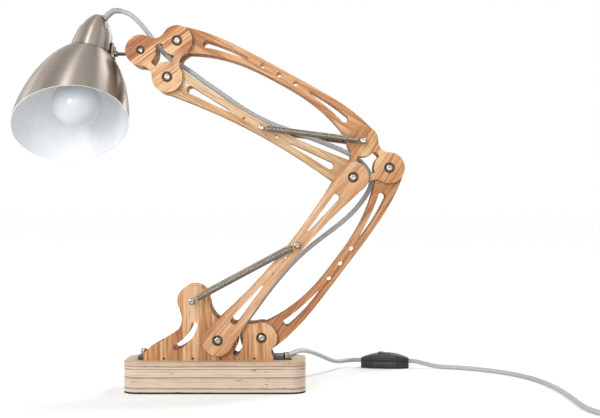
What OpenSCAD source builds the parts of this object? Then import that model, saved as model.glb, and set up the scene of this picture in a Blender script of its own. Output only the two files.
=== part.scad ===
// Swing-arm desk lamp: plywood base, wooden double parallelogram arms with
// balance springs, and a metal bell shade on a knuckle.
// X runs along the arms' plane, Y across the plates, Z up. The origin is the middle of the base's underside.

/* [Base] */
// Length of the base
base_l = 206; // [169:1:260]
// Depth of the base
base_d = 76; // [63:1:120]
// Radius of the base's upright corners
base_r = 18; // [8:1:30]
// Thickness of each of the two glued boards
board_t = 17; // [14:0.5:25]
// Thickness of the pad under the base
pad_t = 2; // [1:0.5:4]

/* [Arms] */
// Distance between the two pivots of each straight link
link_l = 240; // [200:1:290]
// Lean of the lower arm above the horizontal, as it stands
lower_lean = 50.3; // [45:0.1:60]
// Direction of the upper arm from the elbow, as it stands
upper_lean = 151.6; // [145:0.1:158]
// Distance between neighbouring pivots of a three-eyed bracket
eye_pitch = 42.8; // [36:0.1:52]
// Turn of the three-eyed brackets about Y
eye_turn = 14.7; // [10:0.1:20]
// Distance between the two pivots of the base plates
base_pitch = 49.4; // [45:0.1:60]
// Rise of the line through the base plates' pivots
base_rise = 2.7; // [0:0.1:6]
// Radius of the round ends of links and brackets
eye_r = 17.5; // [15:0.5:20]
// Half width of a straight link at its middle
waist_r = 7.5; // [6:0.5:10]
// Thickness of every wooden plate
plate_t = 6; // [4:0.2:7.4]
// Half of the free space between the inner links, where the cord runs
mid_gap = 10.5; // [9:0.1:13]
// Running gap between neighbouring plates
run_gap = 0.5; // [0.4:0.1:0.8]

/* [Hardware] */
// Diameter of the pivot bolts
bolt_d = 5; // [4:0.5:6]
// Diameter of the bolt heads
head_d = 9.5; // [8:0.1:11.4]
// Diameter of the counterbores round the bolt heads
sink_d = 12.4; // [11.5:0.1:15]
// Depth of those counterbores
sink_h = 2.4; // [1:0.2:3]
// Diameter of the bolt head at the knuckle
small_head_d = 7.6; // [6.4:0.1:9.2]
// Diameter of the counterbore at the knuckle
small_sink_d = 10; // [9.6:0.1:12]
// Clearance on the diameter between a bolt and its bore
bore_play = 0.2; // [0.1:0.05:0.4]
// Extra room on the radius at the rear link's upper pivot
free_play = 1.8; // [1.6:0.1:2.4]
// Outer diameter of the balance springs
spring_d = 7; // [5.6:0.2:8.4]
// Wire diameter of the balance springs
wire_d = 1; // [0.8:0.1:1.2]

/* [Shade] */
// Radius of the shade's full, uncut mouth
bell_r = 66.2; // [53:0.2:80]
// Depth on the axis at which the bell reaches its full radius
bell_h = 103; // [86:1:124]
// Radius of the bell's upper end
neck_r = 21; // [20:0.2:26]
// Wall of the bell and its cap
shade_wall = 1.2; // [1:0.1:2]
// Slant of the mouth against the axis
mouth_slant = 27.4; // [0:0.1:33]
// Height on the axis from the bell's upper end down to the slanted mouth
mouth_drop = 94.2; // [85:0.2:98]
// Radius of the bulb's globe
globe_r = 27.5; // [22:0.5:33]

/* [Cord] */
// Diameter of the cord
cord_d = 5.6; // [4.6:0.2:7]
// Length of the switch on the cord
switch_l = 62; // [58:1:66]
// Width of the switch
switch_w = 25; // [22:1:28]

/* [Hidden] */

$fn = 48;
wood = "peru";
dark_wood = "sienna";
steel = "silver";
black = "dimgray";
cord_grey = "gray";

// Heights and layers
base_top = pad_t + 2 * board_t;
inner_y = mid_gap;                       // inner links
plate_y = inner_y + plate_t + run_gap;   // base, elbow and head plates
outer_y = plate_y + plate_t + run_gap;   // outer links
plate_face = plate_y + plate_t;
outer_face = outer_y + plate_t;
low_spring_y = outer_face + spring_d / 2 + 1.5;
high_spring_y = plate_face + spring_d / 2 + 2;

// Pivots in the XZ plane, as the lamp stands
function polar(d, a) = [d * cos(a), d * sin(a)];
function turn(p, a) = [p[0] * cos(a) - p[1] * sin(a), p[0] * sin(a) + p[1] * cos(a)];
pivot_a = [3.5, base_top + 23.2];
pivot_b = pivot_a + polar(base_pitch, base_rise);
pivot_c = pivot_a + polar(link_l, lower_lean);
pivot_d = pivot_c + polar(eye_pitch, eye_turn);
pivot_h = pivot_c + polar(eye_pitch, eye_turn + 60);
pivot_f = pivot_c + polar(link_l, upper_lean);
pivot_e = pivot_f + polar(eye_pitch, eye_turn + 60);
pivot_g = pivot_f + polar(eye_pitch, eye_turn + 120);
rear_span = pivot_d - pivot_b;
rear_l = norm(rear_span);
rear_lean = atan2(rear_span[1], rear_span[0]);
low_post = pivot_a + [-28.7, 44.9];
low_pin_at = 140.5;
high_pin_at = 118;
low_pin = pivot_a + polar(low_pin_at, lower_lean);
high_pin = pivot_c + polar(high_pin_at, upper_lean);

// Shade frame: its origin is the middle of the bell's upper end
shade_lean = 17.6;
shade_aim = 45;
stud_reach = 31.5;
stud_line = pivot_g - [0, 1.6];
clip_stand = 6.5;                        // from the bell's neck out to the inner end of the stud's boss
shade_at = [stud_line[0] - stud_reach - clip_stand - neck_r, 0, stud_line[1] + 9.2];
slant_aim = 126.5;
cap_h = 37;
stud_d = 4.6;

// ---- 2D shapes, drawn with x along the object and y up ----

side_cut = 0.985;                        // slot sides run just inside their round ends

// A wedge-shaped slot along the x axis, wide end first
module taper_slot(x1, r1, x2, r2) {
    translate([x1, 0]) circle(r1);
    translate([x2, 0]) circle(r2);
    polygon([[x1, -r1 * side_cut], [x2, -r2 * side_cut], [x2, r2 * side_cut], [x1, r1 * side_cut]]);
}

// A slot of even width along an arc
module arc_slot(centre, radius, from, to, r) {
    steps = 10;
    half = r * side_cut;
    outer = [for (i = [0:steps]) centre + polar(radius + half, from + (to - from) * i / steps)];
    inner = [for (i = [steps:-1:0]) centre + polar(radius - half, from + (to - from) * i / steps)];
    polygon(concat(outer, inner));
    for (a = [from, to]) translate(centre + polar(radius, a)) circle(r);
}

slot_wide = 4.4;
slot_narrow = 1.3;
slot_from = 29.5;
slot_to = 79;
hole_step = 21;

// Half width of a straight link: two big arcs that run tangent into its round ends
function waist_arc() = (pow(link_l / 2, 2) + waist_r * waist_r - eye_r * eye_r) / (2 * (eye_r - waist_r));
function waist(x) = waist_r + waist_arc() - sqrt(pow(waist_arc(), 2) - pow(x - link_l / 2, 2));

module straight_link_2d(bores, small_holes) {
    start = 3;
    tuck = 0.4;                          // how far the ends of the flanks lie inside the round ends
    steps = 14;
    xs = [for (i = [0:steps]) start + (link_l - 2 * start) * i / steps];
    ys = [for (i = [0:steps]) waist(xs[i]) - (i == 0 || i == steps ? tuck : 0)];
    difference() {
        union() {
            for (x = [0, link_l]) translate([x, 0]) circle(eye_r);
            polygon(concat([for (i = [0:steps]) [xs[i], -ys[i]]],
                           [for (i = [steps:-1:0]) [xs[i], ys[i]]]));
        }
        taper_slot(slot_from, slot_wide, slot_to, slot_narrow);
        translate([link_l, 0]) mirror([1, 0]) taper_slot(slot_from, slot_wide, slot_to, slot_narrow);
        for (x = small_holes) translate([x, 0]) circle(1.9);
        for (x = [0, link_l]) translate([x, 0]) circle((bores + bore_play) / 2);
    }
}

// A bowed link's inner and outer edge, below the line through its pivots; u is 1 at a pivot and 0 in the middle
bow_in = 14.7;
bow_out = 28.4;
function inner_edge(u) = -bow_in + 31.3 * pow(u, 2.65);
function outer_edge(u) = -bow_out + 10 * pow(u, 4);
function bow_mid(u) = (inner_edge(u) + outer_edge(u)) / 2;

module bowed_link_2d(span, far_play) {
    half = span / 2;
    steps = 16;
    cut_in = 0.88;                       // both edges start a little inside the round ends
    cut_out = 1.05;
    us = [for (i = [-steps:steps]) i / steps];
    bow_hole = 2.9;
    slot_u = [0.745, 0.34];
    slot_steps = 8;
    difference() {
        union() {
            for (x = [0, span]) translate([x, 0]) circle(eye_r);
            polygon(concat(
                [for (u = us) [half + half * cut_out * u, outer_edge(abs(cut_out * u))]],
                [for (i = [2 * steps:-1:0]) [half + half * cut_in * us[i], inner_edge(abs(cut_in * us[i]))]]));
        }
        for (side = [-1, 1]) {
            us2 = [for (i = [0:slot_steps]) slot_u[0] + (slot_u[1] - slot_u[0]) * i / slot_steps];
            ws = [for (i = [0:slot_steps]) slot_wide - (slot_wide - slot_narrow) * i / slot_steps];
            polygon(concat(
                [for (i = [0:slot_steps]) [half + side * half * us2[i], bow_mid(us2[i]) + side * ws[i] * side_cut]],
                [for (i = [slot_steps:-1:0])
                    [half + side * half * us2[i], bow_mid(us2[i]) - side * ws[i] * side_cut]]));
            for (i = [0, slot_steps]) translate([half + side * half * us2[i], bow_mid(us2[i])]) circle(ws[i]);
        }
        for (i = [-1:1]) translate([half + i * hole_step * 1.02, bow_mid(0)]) circle(bow_hole);
        circle((bolt_d + bore_play) / 2);
        translate([span, 0]) circle((bolt_d + bore_play) / 2 + far_play);
    }
}

// A three-eyed bracket: round ends joined by waisted necks round a three-cornered window
module bracket_2d(bore_list) {
    eyes = [for (i = [0:2]) i == 0 ? [0, 0] : polar(eye_pitch, 60 * (i - 1))];
    middle = polar(eye_pitch / sqrt(3), 30);
    neck = 8.6;                          // reach of a neck beyond the line between two pivots
    fillet = (pow(eye_pitch / 2, 2) + neck * neck - eye_r * eye_r) / (2 * (eye_r - neck));
    away = neck + fillet;
    brow = 0.93 * eye_r * away / (eye_r + fillet);
    difference() {
        union() {
            for (p = eyes) translate(p) circle(eye_r);
            difference() {
                polygon([for (i = [0:2]) for (j = [-1, 1])
                    let (out = eyes[i] - middle) eyes[i] + turn(out, 60 * j) * (brow / norm(out))]);
                for (i = [0:2]) translate(middle - (eyes[i] - middle) * (0.5 + away / norm(eyes[i] - middle)))
                    circle(fillet);
            }
        }
        difference() {
            translate(middle) circle(eye_pitch / (2 * sqrt(3)) + 1.5);
            for (p = eyes) translate(p) circle(eye_r);
        }
        for (i = [0:2]) translate(eyes[i]) circle((bore_list[i] + bore_play) / 2);
    }
}

// The base plate: a tail, a round-headed post for the springs, and the two lower pivots
module base_plate_2d() {
    z0 = base_top;
    hollow = pivot_a + [-61.1, 24.1];    // round hollow behind the post
    saddle = pivot_a + [16.5, 45.3];     // round hollow between post and arm
    difference() {
        union() {
            for (p = [low_post, pivot_a, pivot_b]) translate(p) circle(eye_r);
            difference() {
                polygon([[pivot_a[0] - 84.5, z0], [pivot_b[0] + 13.8, z0], [pivot_b[0] + 13.8, z0 + 3],
                         pivot_b + [11, -16.8], pivot_b + [11, -12.2], pivot_b, pivot_b + [-1, 17.3],
                         pivot_a + [39.5, 18.4], pivot_a + [16.5, 18.3], low_post + [17, 0], low_post,
                         pivot_a + [-43.5, 34.8], pivot_a + [-50, 7.3], pivot_a + [-59.5, 1.1],
                         pivot_a + [-72.5, -6], pivot_a + [-81, -11.2], [pivot_a[0] - 84.5, z0 + 7.6]]);
                translate(hollow) circle(20);
                translate(saddle) circle(27);
            }
        }
        arc_slot(hollow, 35, -67, -12, 3.55);
        arc_slot(pivot_a, 25.4, -36, 22, 3.1);
        for (x = bar_screw_x) translate([x, bar_screw_z]) circle(bar_screw_d / 2 + 0.1);
        for (p = [pivot_a, pivot_b]) translate(p) circle((bolt_d + bore_play) / 2);
        translate(low_post) circle(post_d / 2 + 0.1);
    }
}

// ---- Placing ----

// Turns a 2D shape into a plate whose near face lies at y on the chosen side (-1 front, 1 rear)
module plate(y, side) {
    translate([0, side > 0 ? y + plate_t : -y, 0]) rotate([90, 0, 0]) linear_extrude(plate_t) children();
}
module at(p) { translate([p[0], 0, p[1]]) children(); }
// A round bar, tube or bore along Y between two y values
module across(d, y1, y2) { translate([0, y2, 0]) rotate([90, 0, 0]) cylinder(d = d, h = y2 - y1); }
module tube(d, bore, y1, y2) {
    difference() { across(d, y1, y2); across(bore, y1 - 1, y2 + 1); }
}
// Counterbore in a plate whose outer face lies at y
module sink(y, side, d = sink_d) { across(d, side > 0 ? y - sink_h : -y - 1, side > 0 ? y + 1 : -y + sink_h); }

// ---- Base ----
bar_h = 4.6;
bar_screw_z = base_top + bar_h / 2;
bar_screw_d = 2.6;
bar_screw_x = [pivot_a[0] - 61.3, pivot_a[0] - 28.7, pivot_a[0] + 3, pivot_a[0] + 41.5];
bar_left = pivot_a[0] - 91.5;
bar_right = pivot_b[0] + 34;
bar_bolts = [[bar_left + 5, 0], [bar_right - 5.5, -plate_y + 5.5]];
wood_screw_d = 4;

module slab(h) {
    linear_extrude(h) union() {
        square([base_l - 2 * base_r, base_d], center = true);
        square([base_l, base_d - 2 * base_r], center = true);
        for (x = [-1, 1]) for (y = [-1, 1])
            translate([x * (base_l / 2 - base_r), y * (base_d / 2 - base_r)]) circle(base_r);
    }
}
module base_pad() { color("black") slab(pad_t); }
module base_lower_board() { color(wood) translate([0, 0, pad_t]) slab(board_t); }
module base_upper_board() {
    color(wood) difference() {
        translate([0, 0, pad_t + board_t]) slab(board_t);
        for (p = bar_bolts) translate([p[0], p[1], base_top - 12]) cylinder(d = wood_screw_d + 0.2, h = 14);
    }
}
tongue_h = 1.6;                          // the bar's right end is thinner, beyond the plates
// Flat steel bar between the plates; its right end is forked round the cord
module base_bar() {
    channel = cord_d + 3.4;
    color(black) difference() {
        translate([bar_left, -plate_y, base_top]) cube([bar_right - bar_left, 2 * plate_y, bar_h]);
        translate([pivot_b[0] - 22, -channel / 2, base_top - 1])
            cube([bar_right, channel, bar_h + 2]);
        translate([pivot_b[0] + 9, 0, base_top - 1]) cube([bar_right, plate_y + 1, bar_h + 2]);
        translate([pivot_b[0] + 16, -plate_y - 1, base_top + tongue_h]) cube([bar_right, 2 * plate_y + 2, bar_h]);
        for (p = bar_bolts) translate([p[0], p[1], base_top - 1]) cylinder(d = wood_screw_d + 0.2, h = bar_h + 2);
        for (x = bar_screw_x) translate([x, 0, bar_screw_z]) for (s = [-1, 1])
            across(bar_screw_d + 0.1, s > 0 ? plate_y - 8 : -plate_y - 1, s > 0 ? plate_y + 1 : -plate_y + 8);
    }
}
module base_bar_bolts() {
    color(steel) for (i = [0, 1]) let (rest = i == 0 ? bar_h : tongue_h)
        translate([bar_bolts[i][0], bar_bolts[i][1], base_top]) {
            translate([0, 0, -11.5]) cylinder(d = wood_screw_d, h = 11.5 + rest);
            difference() {
                translate([0, 0, rest]) cylinder(d = 7.6, h = 6.6);
                translate([0, 0, rest + 4]) cylinder(d = 3.6, h = 4, $fn = 6);
            }
        }
}
// Small black screws through the plates into the bar's edges
module base_bar_screws() {
    color("black") for (x = bar_screw_x) translate([x, 0, bar_screw_z]) for (s = [-1, 1])
        across(bar_screw_d, s > 0 ? plate_y - 7 : -plate_face, s > 0 ? plate_face : -plate_y + 7);
}
module base_plate(side) {
    difference() {
        plate(plate_y, side) base_plate_2d();
        at(pivot_b) sink(plate_face, side);
    }
}
module base_plate_front() { color(dark_wood) base_plate(-1); }
module base_plate_rear() { color(dark_wood) base_plate(1); }

// ---- Bolts, bushes and washers ----
head_h = 3;
nut_h = 3;
bush_d = 9;
washer_d = 11;
washer_t = run_gap - 0.1;
post_d = 3;

// A pivot bolt whose head and nut sit in counterbores of the faces at +-y
module pivot_bolt(y, head = head_d) {
    seat = y - sink_h;
    big = head / 2;
    across(bolt_d, -seat, seat + nut_h - 0.6);
    difference() {
        translate([0, -seat, 0]) rotate([90, 0, 0]) rotate_extrude()
            polygon([[0, 0], [big, 0], [big, head_h * 0.35], [big * 0.84, head_h * 0.75],
                     [big * 0.55, head_h], [0, head_h]]);
        translate([0, -seat - head_h + 1.7, 0]) rotate([90, 0, 0]) cylinder(d = 3.4, h = 4, $fn = 6);
    }
    translate([0, seat + nut_h, 0]) rotate([90, 0, 0]) difference() {
        cylinder(d = max(head, 1.5 * bolt_d + 1) - 0.6, h = nut_h, $fn = 6);
        translate([0, 0, -1]) cylinder(d = bolt_d, h = nut_h + 2);
    }
}
module base_pivot_bolts() {
    color(steel) { at(pivot_a) pivot_bolt(outer_face); at(pivot_b) pivot_bolt(plate_face); }
}
module bush(half) { tube(bush_d, bolt_d + bore_play, -half, half); }
module base_bushes() {
    color(steel) {
        at(pivot_a) bush(plate_y);
        at(pivot_b) bush(inner_y);
        at(low_post) tube(6, post_d + 0.2, -plate_y, plate_y);
    }
}
// A pair of thin washers, centred in the running gap that starts at y
module washers(y) {
    for (s = [-1, 1]) {
        y1 = y + (run_gap - washer_t) / 2;
        tube(washer_d, bolt_d + bore_play, s > 0 ? y1 : -y1 - washer_t, s > 0 ? y1 + washer_t : -y1);
    }
}
module base_washers() {
    color(steel) { at(pivot_a) washers(plate_face); at(pivot_b) washers(inner_y + plate_t); }
}

// A post or pin that carries a spring's hook at y = reach, with a head outside it and a collar inside
module hook_post(from, reach) {
    tube(5, post_d, from, reach - wire_d / 2 - 0.3);
    difference() {
        union() {
            across(post_d, from, reach + 3.5);
            translate([0, reach + wire_d / 2 + 0.3, 0]) rotate([-90, 0, 0])
                cylinder(d1 = 7.6, d2 = 6.4, h = 4.2 - wire_d / 2);
        }
        translate([0, reach + 2.7, 0]) rotate([-90, 0, 0]) cylinder(d = 3.2, h = 3, $fn = 6);
    }
}
module lower_spring_posts() {
    color(steel) at(low_post) {
        across(post_d, -plate_face, plate_face);
        for (s = [0, 1]) mirror([0, s, 0]) hook_post(plate_face, low_spring_y);
    }
}
pin_d = 3;
module lower_spring_pins() {
    color(steel) at(low_pin) for (s = [0, 1]) mirror([0, s, 0]) {
        across(pin_d, outer_y - 2.4, outer_face);
        translate([0, outer_y, 0]) rotate([90, 0, 0]) cylinder(d = 6.4, h = 2.4, $fn = 6);
        hook_post(outer_face, low_spring_y);
    }
}
module upper_spring_pins() {
    color(steel) at(high_pin) for (s = [0, 1]) mirror([0, s, 0]) {
        across(pin_d, inner_y - 2.4, inner_y + plate_t);
        translate([0, inner_y, 0]) rotate([90, 0, 0]) cylinder(d = 6.4, h = 2.4, $fn = 6);
        hook_post(inner_y + plate_t, high_spring_y);
    }
}
// The post through the elbow's top eye is also the top link's pivot
module upper_spring_post() {
    color(steel) at(pivot_h) {
        across(bolt_d, -plate_face, plate_face);
        for (s = [0, 1]) mirror([0, s, 0]) hook_post(plate_face, high_spring_y);
    }
}

// ---- Arms ----
module lower_link(side) {
    at(pivot_a) rotate([0, -lower_lean, 0]) difference() {
        plate(outer_y, side) straight_link_2d(bolt_d, [link_l / 2 - hole_step, link_l / 2]);
        for (x = [0, link_l]) translate([x, 0, 0]) sink(outer_face, side);
        translate([low_pin_at, 0, 0]) across(pin_d + 0.1, side * (outer_y + plate_t / 2) - 5,
                                             side * (outer_y + plate_t / 2) + 5);
    }
}
module lower_link_front() { color(wood) lower_link(-1); }
module lower_link_rear() { color(wood) lower_link(1); }

module upper_link(side) {
    at(pivot_c) rotate([0, -upper_lean, 0]) difference() {
        plate(inner_y, side) straight_link_2d(bolt_d, [link_l / 2 - hole_step, link_l / 2 + hole_step]);
        translate([high_pin_at, 0, 0]) across(pin_d + 0.1, side * (inner_y + plate_t / 2) - 5,
                                              side * (inner_y + plate_t / 2) + 5);
    }
}
module upper_link_front() { color(wood) upper_link(-1); }
module upper_link_rear() { color(wood) upper_link(1); }

module rear_link(side) {
    at(pivot_b) rotate([0, -rear_lean, 0]) plate(inner_y, side) bowed_link_2d(rear_l, free_play);
}
module rear_link_front() { color(dark_wood) rear_link(-1); }
module rear_link_rear() { color(dark_wood) rear_link(1); }

module top_link(side) {
    at(pivot_h) rotate([0, -upper_lean, 0]) plate(inner_y, side) bowed_link_2d(link_l, 0);
}
module top_link_front() { color(wood) top_link(-1); }
module top_link_rear() { color(wood) top_link(1); }

// ---- Elbow and head brackets ----
module bracket(p, side, aim) {
    at(p) rotate([0, -aim, 0]) plate(plate_y, side) bracket_2d([bolt_d, bolt_d, bolt_d]);
}
module elbow_plate(side) {
    difference() { bracket(pivot_c, side, eye_turn); at(pivot_d) sink(plate_face, side); }
}
module elbow_plate_front() { color(wood) elbow_plate(-1); }
module elbow_plate_rear() { color(wood) elbow_plate(1); }
module elbow_bolts() {
    color(steel) { at(pivot_c) pivot_bolt(outer_face); at(pivot_d) pivot_bolt(plate_face); }
}
module elbow_bushes() { color(steel) for (p = [pivot_c, pivot_d, pivot_h]) at(p) bush(inner_y); }
module elbow_washers() {
    color(steel) {
        for (p = [pivot_c, pivot_d, pivot_h]) at(p) washers(inner_y + plate_t);
        at(pivot_c) washers(plate_face);
    }
}
module head_plate(side) {
    difference() {
        bracket(pivot_f, side, eye_turn + 60);
        for (p = [pivot_f, pivot_e]) at(p) sink(plate_face, side);
        at(pivot_g) sink(plate_face, side, small_sink_d);
    }
}
module head_plate_front() { color(wood) head_plate(-1); }
module head_plate_rear() { color(wood) head_plate(1); }
module head_bolts() {
    color(steel) {
        for (p = [pivot_f, pivot_e]) at(p) pivot_bolt(plate_face);
        at(pivot_g) pivot_bolt(plate_face, small_head_d);
    }
}
module head_bushes() { color(steel) for (p = [pivot_f, pivot_e]) at(p) bush(inner_y); }
module head_washers() { color(steel) for (p = [pivot_f, pivot_e]) at(p) washers(inner_y + plate_t); }

// ---- Balance springs ----
hook_r = (post_d + wire_d) / 2 + 0.25;
hook_gap = 6.5;                          // from a post's middle to the first turn of its spring
ring_step = 1.6;                         // the turns are drawn wider apart than the real ones

// Runs a child along the line from p to q, x forward, on both sides at y
module spring_line(p, q, y) {
    span = q - p;
    for (s = [-1, 1]) translate([p[0], s * y, p[1]]) rotate([0, -atan2(span[1], span[0]), 0]) children();
}
module spring_eye(x, flip) {
    reach = hook_gap - 0.35 - hook_r * cos(35);
    rise = (spring_d - wire_d) / 2 - hook_r * sin(35);
    translate([x, 0, 0]) rotate([90, 0, 0]) rotate([0, 0, flip ? 180 : 0]) {
        rotate([0, 0, 35]) rotate_extrude(angle = 290) translate([hook_r, 0]) circle(d = wire_d, $fn = 16);
        translate([hook_r * cos(35), hook_r * sin(35), 0]) rotate([0, 90, atan2(rise, reach)])
            cylinder(d = wire_d, h = norm([reach, rise]), $fn = 16);
    }
}
module spring_coil(span) {
    len = norm(span) - 2 * hook_gap;
    turns = floor(len / ring_step);
    step = len / turns;
    mid_r = (spring_d - wire_d) / 2;
    translate([hook_gap, 0, 0]) rotate([0, 90, 0]) rotate_extrude() union() {
        translate([mid_r - 0.3, 0]) square([0.6, len]);
        for (i = [0:turns - 1]) translate([mid_r, step * (i + 0.5)]) circle(d = wire_d, $fn = 16);
    }
}
module lower_spring_hooks() { color(steel) spring_line(low_post, low_pin, low_spring_y) spring_eye(0, false); }
module lower_springs() {
    color(steel) spring_line(low_post, low_pin, low_spring_y) {
        spring_coil(low_pin - low_post);
        spring_eye(norm(low_pin - low_post), true);
    }
}
module upper_spring_hooks() { color(steel) spring_line(pivot_h, high_pin, high_spring_y) spring_eye(0, false); }
module upper_springs() {
    color(steel) spring_line(pivot_h, high_pin, high_spring_y) {
        spring_coil(high_pin - pivot_h);
        spring_eye(norm(high_pin - pivot_h), true);
    }
}

// ---- Knuckle and shade ----
knuckle_d = 15;
knuckle_side = 0.3;
module knuckle() {
    half = plate_y - knuckle_side;
    color(black) at(pivot_g) difference() {
        union() {
            across(knuckle_d, -half, half);
            translate([-12.5, -5, -6.2]) cube([12.5, 10, 10]);
        }
        across(bolt_d + bore_play, -half - 1, half + 1);
        translate([-14, 0, stud_line[1] - pivot_g[1]]) rotate([0, 90, 0]) cylinder(d = stud_d + 0.1, h = 8);
    }
}
module knuckle_stud() {
    color("black") at(stud_line) {
        translate([-stud_reach, 0, 0]) rotate([0, 90, 0]) cylinder(d = stud_d, h = stud_reach - 6.5);
        translate([-16, 0, 0]) rotate([0, 90, 0]) difference() {
            cylinder(d = 8, h = 3.4, $fn = 6);
            translate([0, 0, -1]) cylinder(d = stud_d, h = 6);
        }
    }
}

module in_shade() {
    translate(shade_at) rotate([0, 0, shade_aim]) rotate([0, shade_lean, 0]) rotate([0, 0, -shade_aim]) children();
}
// Radius of the bell at depth t below its upper end
bell_k = 1.0214;
function bell_radius(t) = max(neck_r, bell_r * sqrt(1 - pow(max(bell_h - t, 0) / (bell_h * bell_k), 1.7)));
module shade() {
    steps = 18;
    skirt = 38;                          // straight wall below the full radius
    ts = concat([for (i = [0:steps]) bell_h * pow(i / steps, 1.3)], [bell_h + skirt]);
    color(steel) in_shade() difference() {
        rotate_extrude($fn = 96) polygon(concat(
            [for (t = ts) [bell_radius(t), -t]],
            [for (i = [steps + 1:-1:0]) [bell_radius(ts[i]) - shade_wall, -ts[i]]]));
        translate([0, 0, -mouth_drop]) rotate([0, 0, slant_aim]) rotate([0, mouth_slant, 0])
            translate([-150, -150, -300]) cube([300, 300, 300]);
    }
}
cap_lap = 2.4;                           // how far the cap's rim stands out over the bell's neck
// The two-tier cap over the lamp holder
module shade_cap() {
    n = neck_r;
    w = shade_wall;
    outside = [[n + cap_lap, -2.6], [n + 0.2, 11], [n - 1.8, 18.4], [n - 2.6, 18.9], [n - 6, 26],
               [n - 10, 32.2], [n - 14.4, cap_h]];
    inside = [[n - 14.4 - w, cap_h - w], [n - 10.2 - 0.7 * w, 32.2 - w], [n - 6 - w, 26 - 0.7 * w],
              [n - 2.6 - 0.85 * w, 18.9 - 0.75 * w], [n + 0.2 - w, 11], [n + cap_lap - 1.1 * w, -2.2]];
    color(steel) in_shade() difference() {
        rotate_extrude($fn = 96) polygon(concat(outside, [[0, cap_h], [0, cap_h - shade_wall]], inside));
        gland_at() cylinder(d = 5, h = 8, center = true);
    }
}
// Where the cord leaves the cap, on the slope beside its flat top
module gland_at() { translate([neck_r - 13.8, -5.4, cap_h - 3.4]) rotate([0, 0, -37]) rotate([0, 42, 0]) children(); }
module cord_gland() {
    color("black") in_shade() gland_at() {
        translate([0, 0, 1.4]) cylinder(d1 = 9, d2 = cord_d + 0.8, h = 6);
        translate([0, 0, -2]) cylinder(d = 4.8, h = 4);
    }
}
holder_d = 36;
module lamp_holder() {
    color("white") in_shade() difference() {
        union() {
            translate([0, 0, -26]) cylinder(d = holder_d, h = 38);
            translate([0, 0, -2.2]) cylinder(d = 2 * (neck_r - shade_wall) - 0.4, h = 2);
        }
        translate([0, 0, -27]) cylinder(d = 27.2, h = 27);
    }
}
globe_at = -71;
glass_t = 1;
module bulb_globe() {
    steps = 20;
    open = 24;                           // half angle of the globe's neck opening
    arc = [for (i = [0:steps]) let (a = 90 - open - (180 - open) * i / steps)
        [globe_r * cos(a), globe_at + globe_r * sin(a)]];
    inside = [for (i = [steps:-1:0]) let (a = 90 - open - (180 - open) * i / steps)
        [(globe_r - glass_t) * cos(a), globe_at + (globe_r - glass_t) * sin(a)]];
    color("white") in_shade() rotate_extrude($fn = 96)
        polygon(concat([[13, -34], [14, -38.5]], arc, inside, [[14 - glass_t, -39.5], [13 - glass_t, -34]]));
}
module bulb_base() {
    color(steel) in_shade() {
        translate([0, 0, -34]) cylinder(d = 26.4, h = 22);
        translate([0, 0, -12]) cylinder(d1 = 20, d2 = 10, h = 3);
    }
}
// A strip that lies on the cap and the bell's shoulder and carries the stud's boss
clip_turn = 30;
clip_aim = 4;
boss_d = 7;
module shade_clip() {
    gap = 0.25;
    t = 2;
    line = [[neck_r + 1, 8], [neck_r + cap_lap + 0.3, -2.6], [bell_radius(5.5) + 1.5, -5.5], [bell_radius(9) + 0.4, -9]];
    color("black") difference() {
        union() {
            in_shade() rotate([0, 0, clip_aim - clip_turn / 2]) rotate_extrude(angle = clip_turn, $fn = 96)
                polygon(concat([for (p = line) p + [gap, 0]], [for (i = [3:-1:0]) line[i] + [gap + t, 0]]));
            at(stud_line) translate([-stud_reach - 3.2, 0, 0]) rotate([0, 90, 0]) cylinder(d = boss_d, h = 5.4);
        }
        at(stud_line) translate([-stud_reach - 0.3, 0, 0]) rotate([0, 90, 0])
            cylinder(d = stud_d + 0.15, h = 10);
    }
}
module clip_screw() {
    color(steel) in_shade() rotate([0, 0, clip_aim]) translate([neck_r + cap_lap + 1.45, 0, 3.2]) rotate([0, 81, 0]) {
        difference() {
            translate([0, 0, 0.7]) cylinder(d = 5, h = 2);
            translate([0, 0, 1.7]) cylinder(d = 2.4, h = 2, $fn = 6);
        }
    }
}

// ---- Cord ----
cord_sides = 10;
function unit(v) = v / norm(v);
function heading(p, i) = unit(p[min(i + 1, len(p) - 1)] - p[max(i - 1, 0)]);
// The stretch of cord between two points of a way; neighbouring stretches share a ring.
// No stretch runs along its reference direction.
module cord_along(way, first, last, reference) {
    n = last - first + 1;
    m = cord_sides;
    rings = [for (i = [first:last]) let (h = heading(way, i), s = unit(cross(h, reference)), u = cross(s, h))
        for (k = [0:m - 1]) way[i] + (s * cos(360 * k / m) + u * sin(360 * k / m)) * cord_d / 2];
    sides = [for (i = [0:n - 2]) for (k = [0:m - 1])
        let (a = i * m + k, b = i * m + (k + 1) % m)
        each [[a, a + m, b], [b, a + m, b + m]]];
    color(cord_grey)
        polyhedron(rings, concat(sides, [[for (k = [0:m - 1]) k]], [[for (k = [m - 1:-1:0]) (n - 1) * m + k]]));
}
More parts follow.
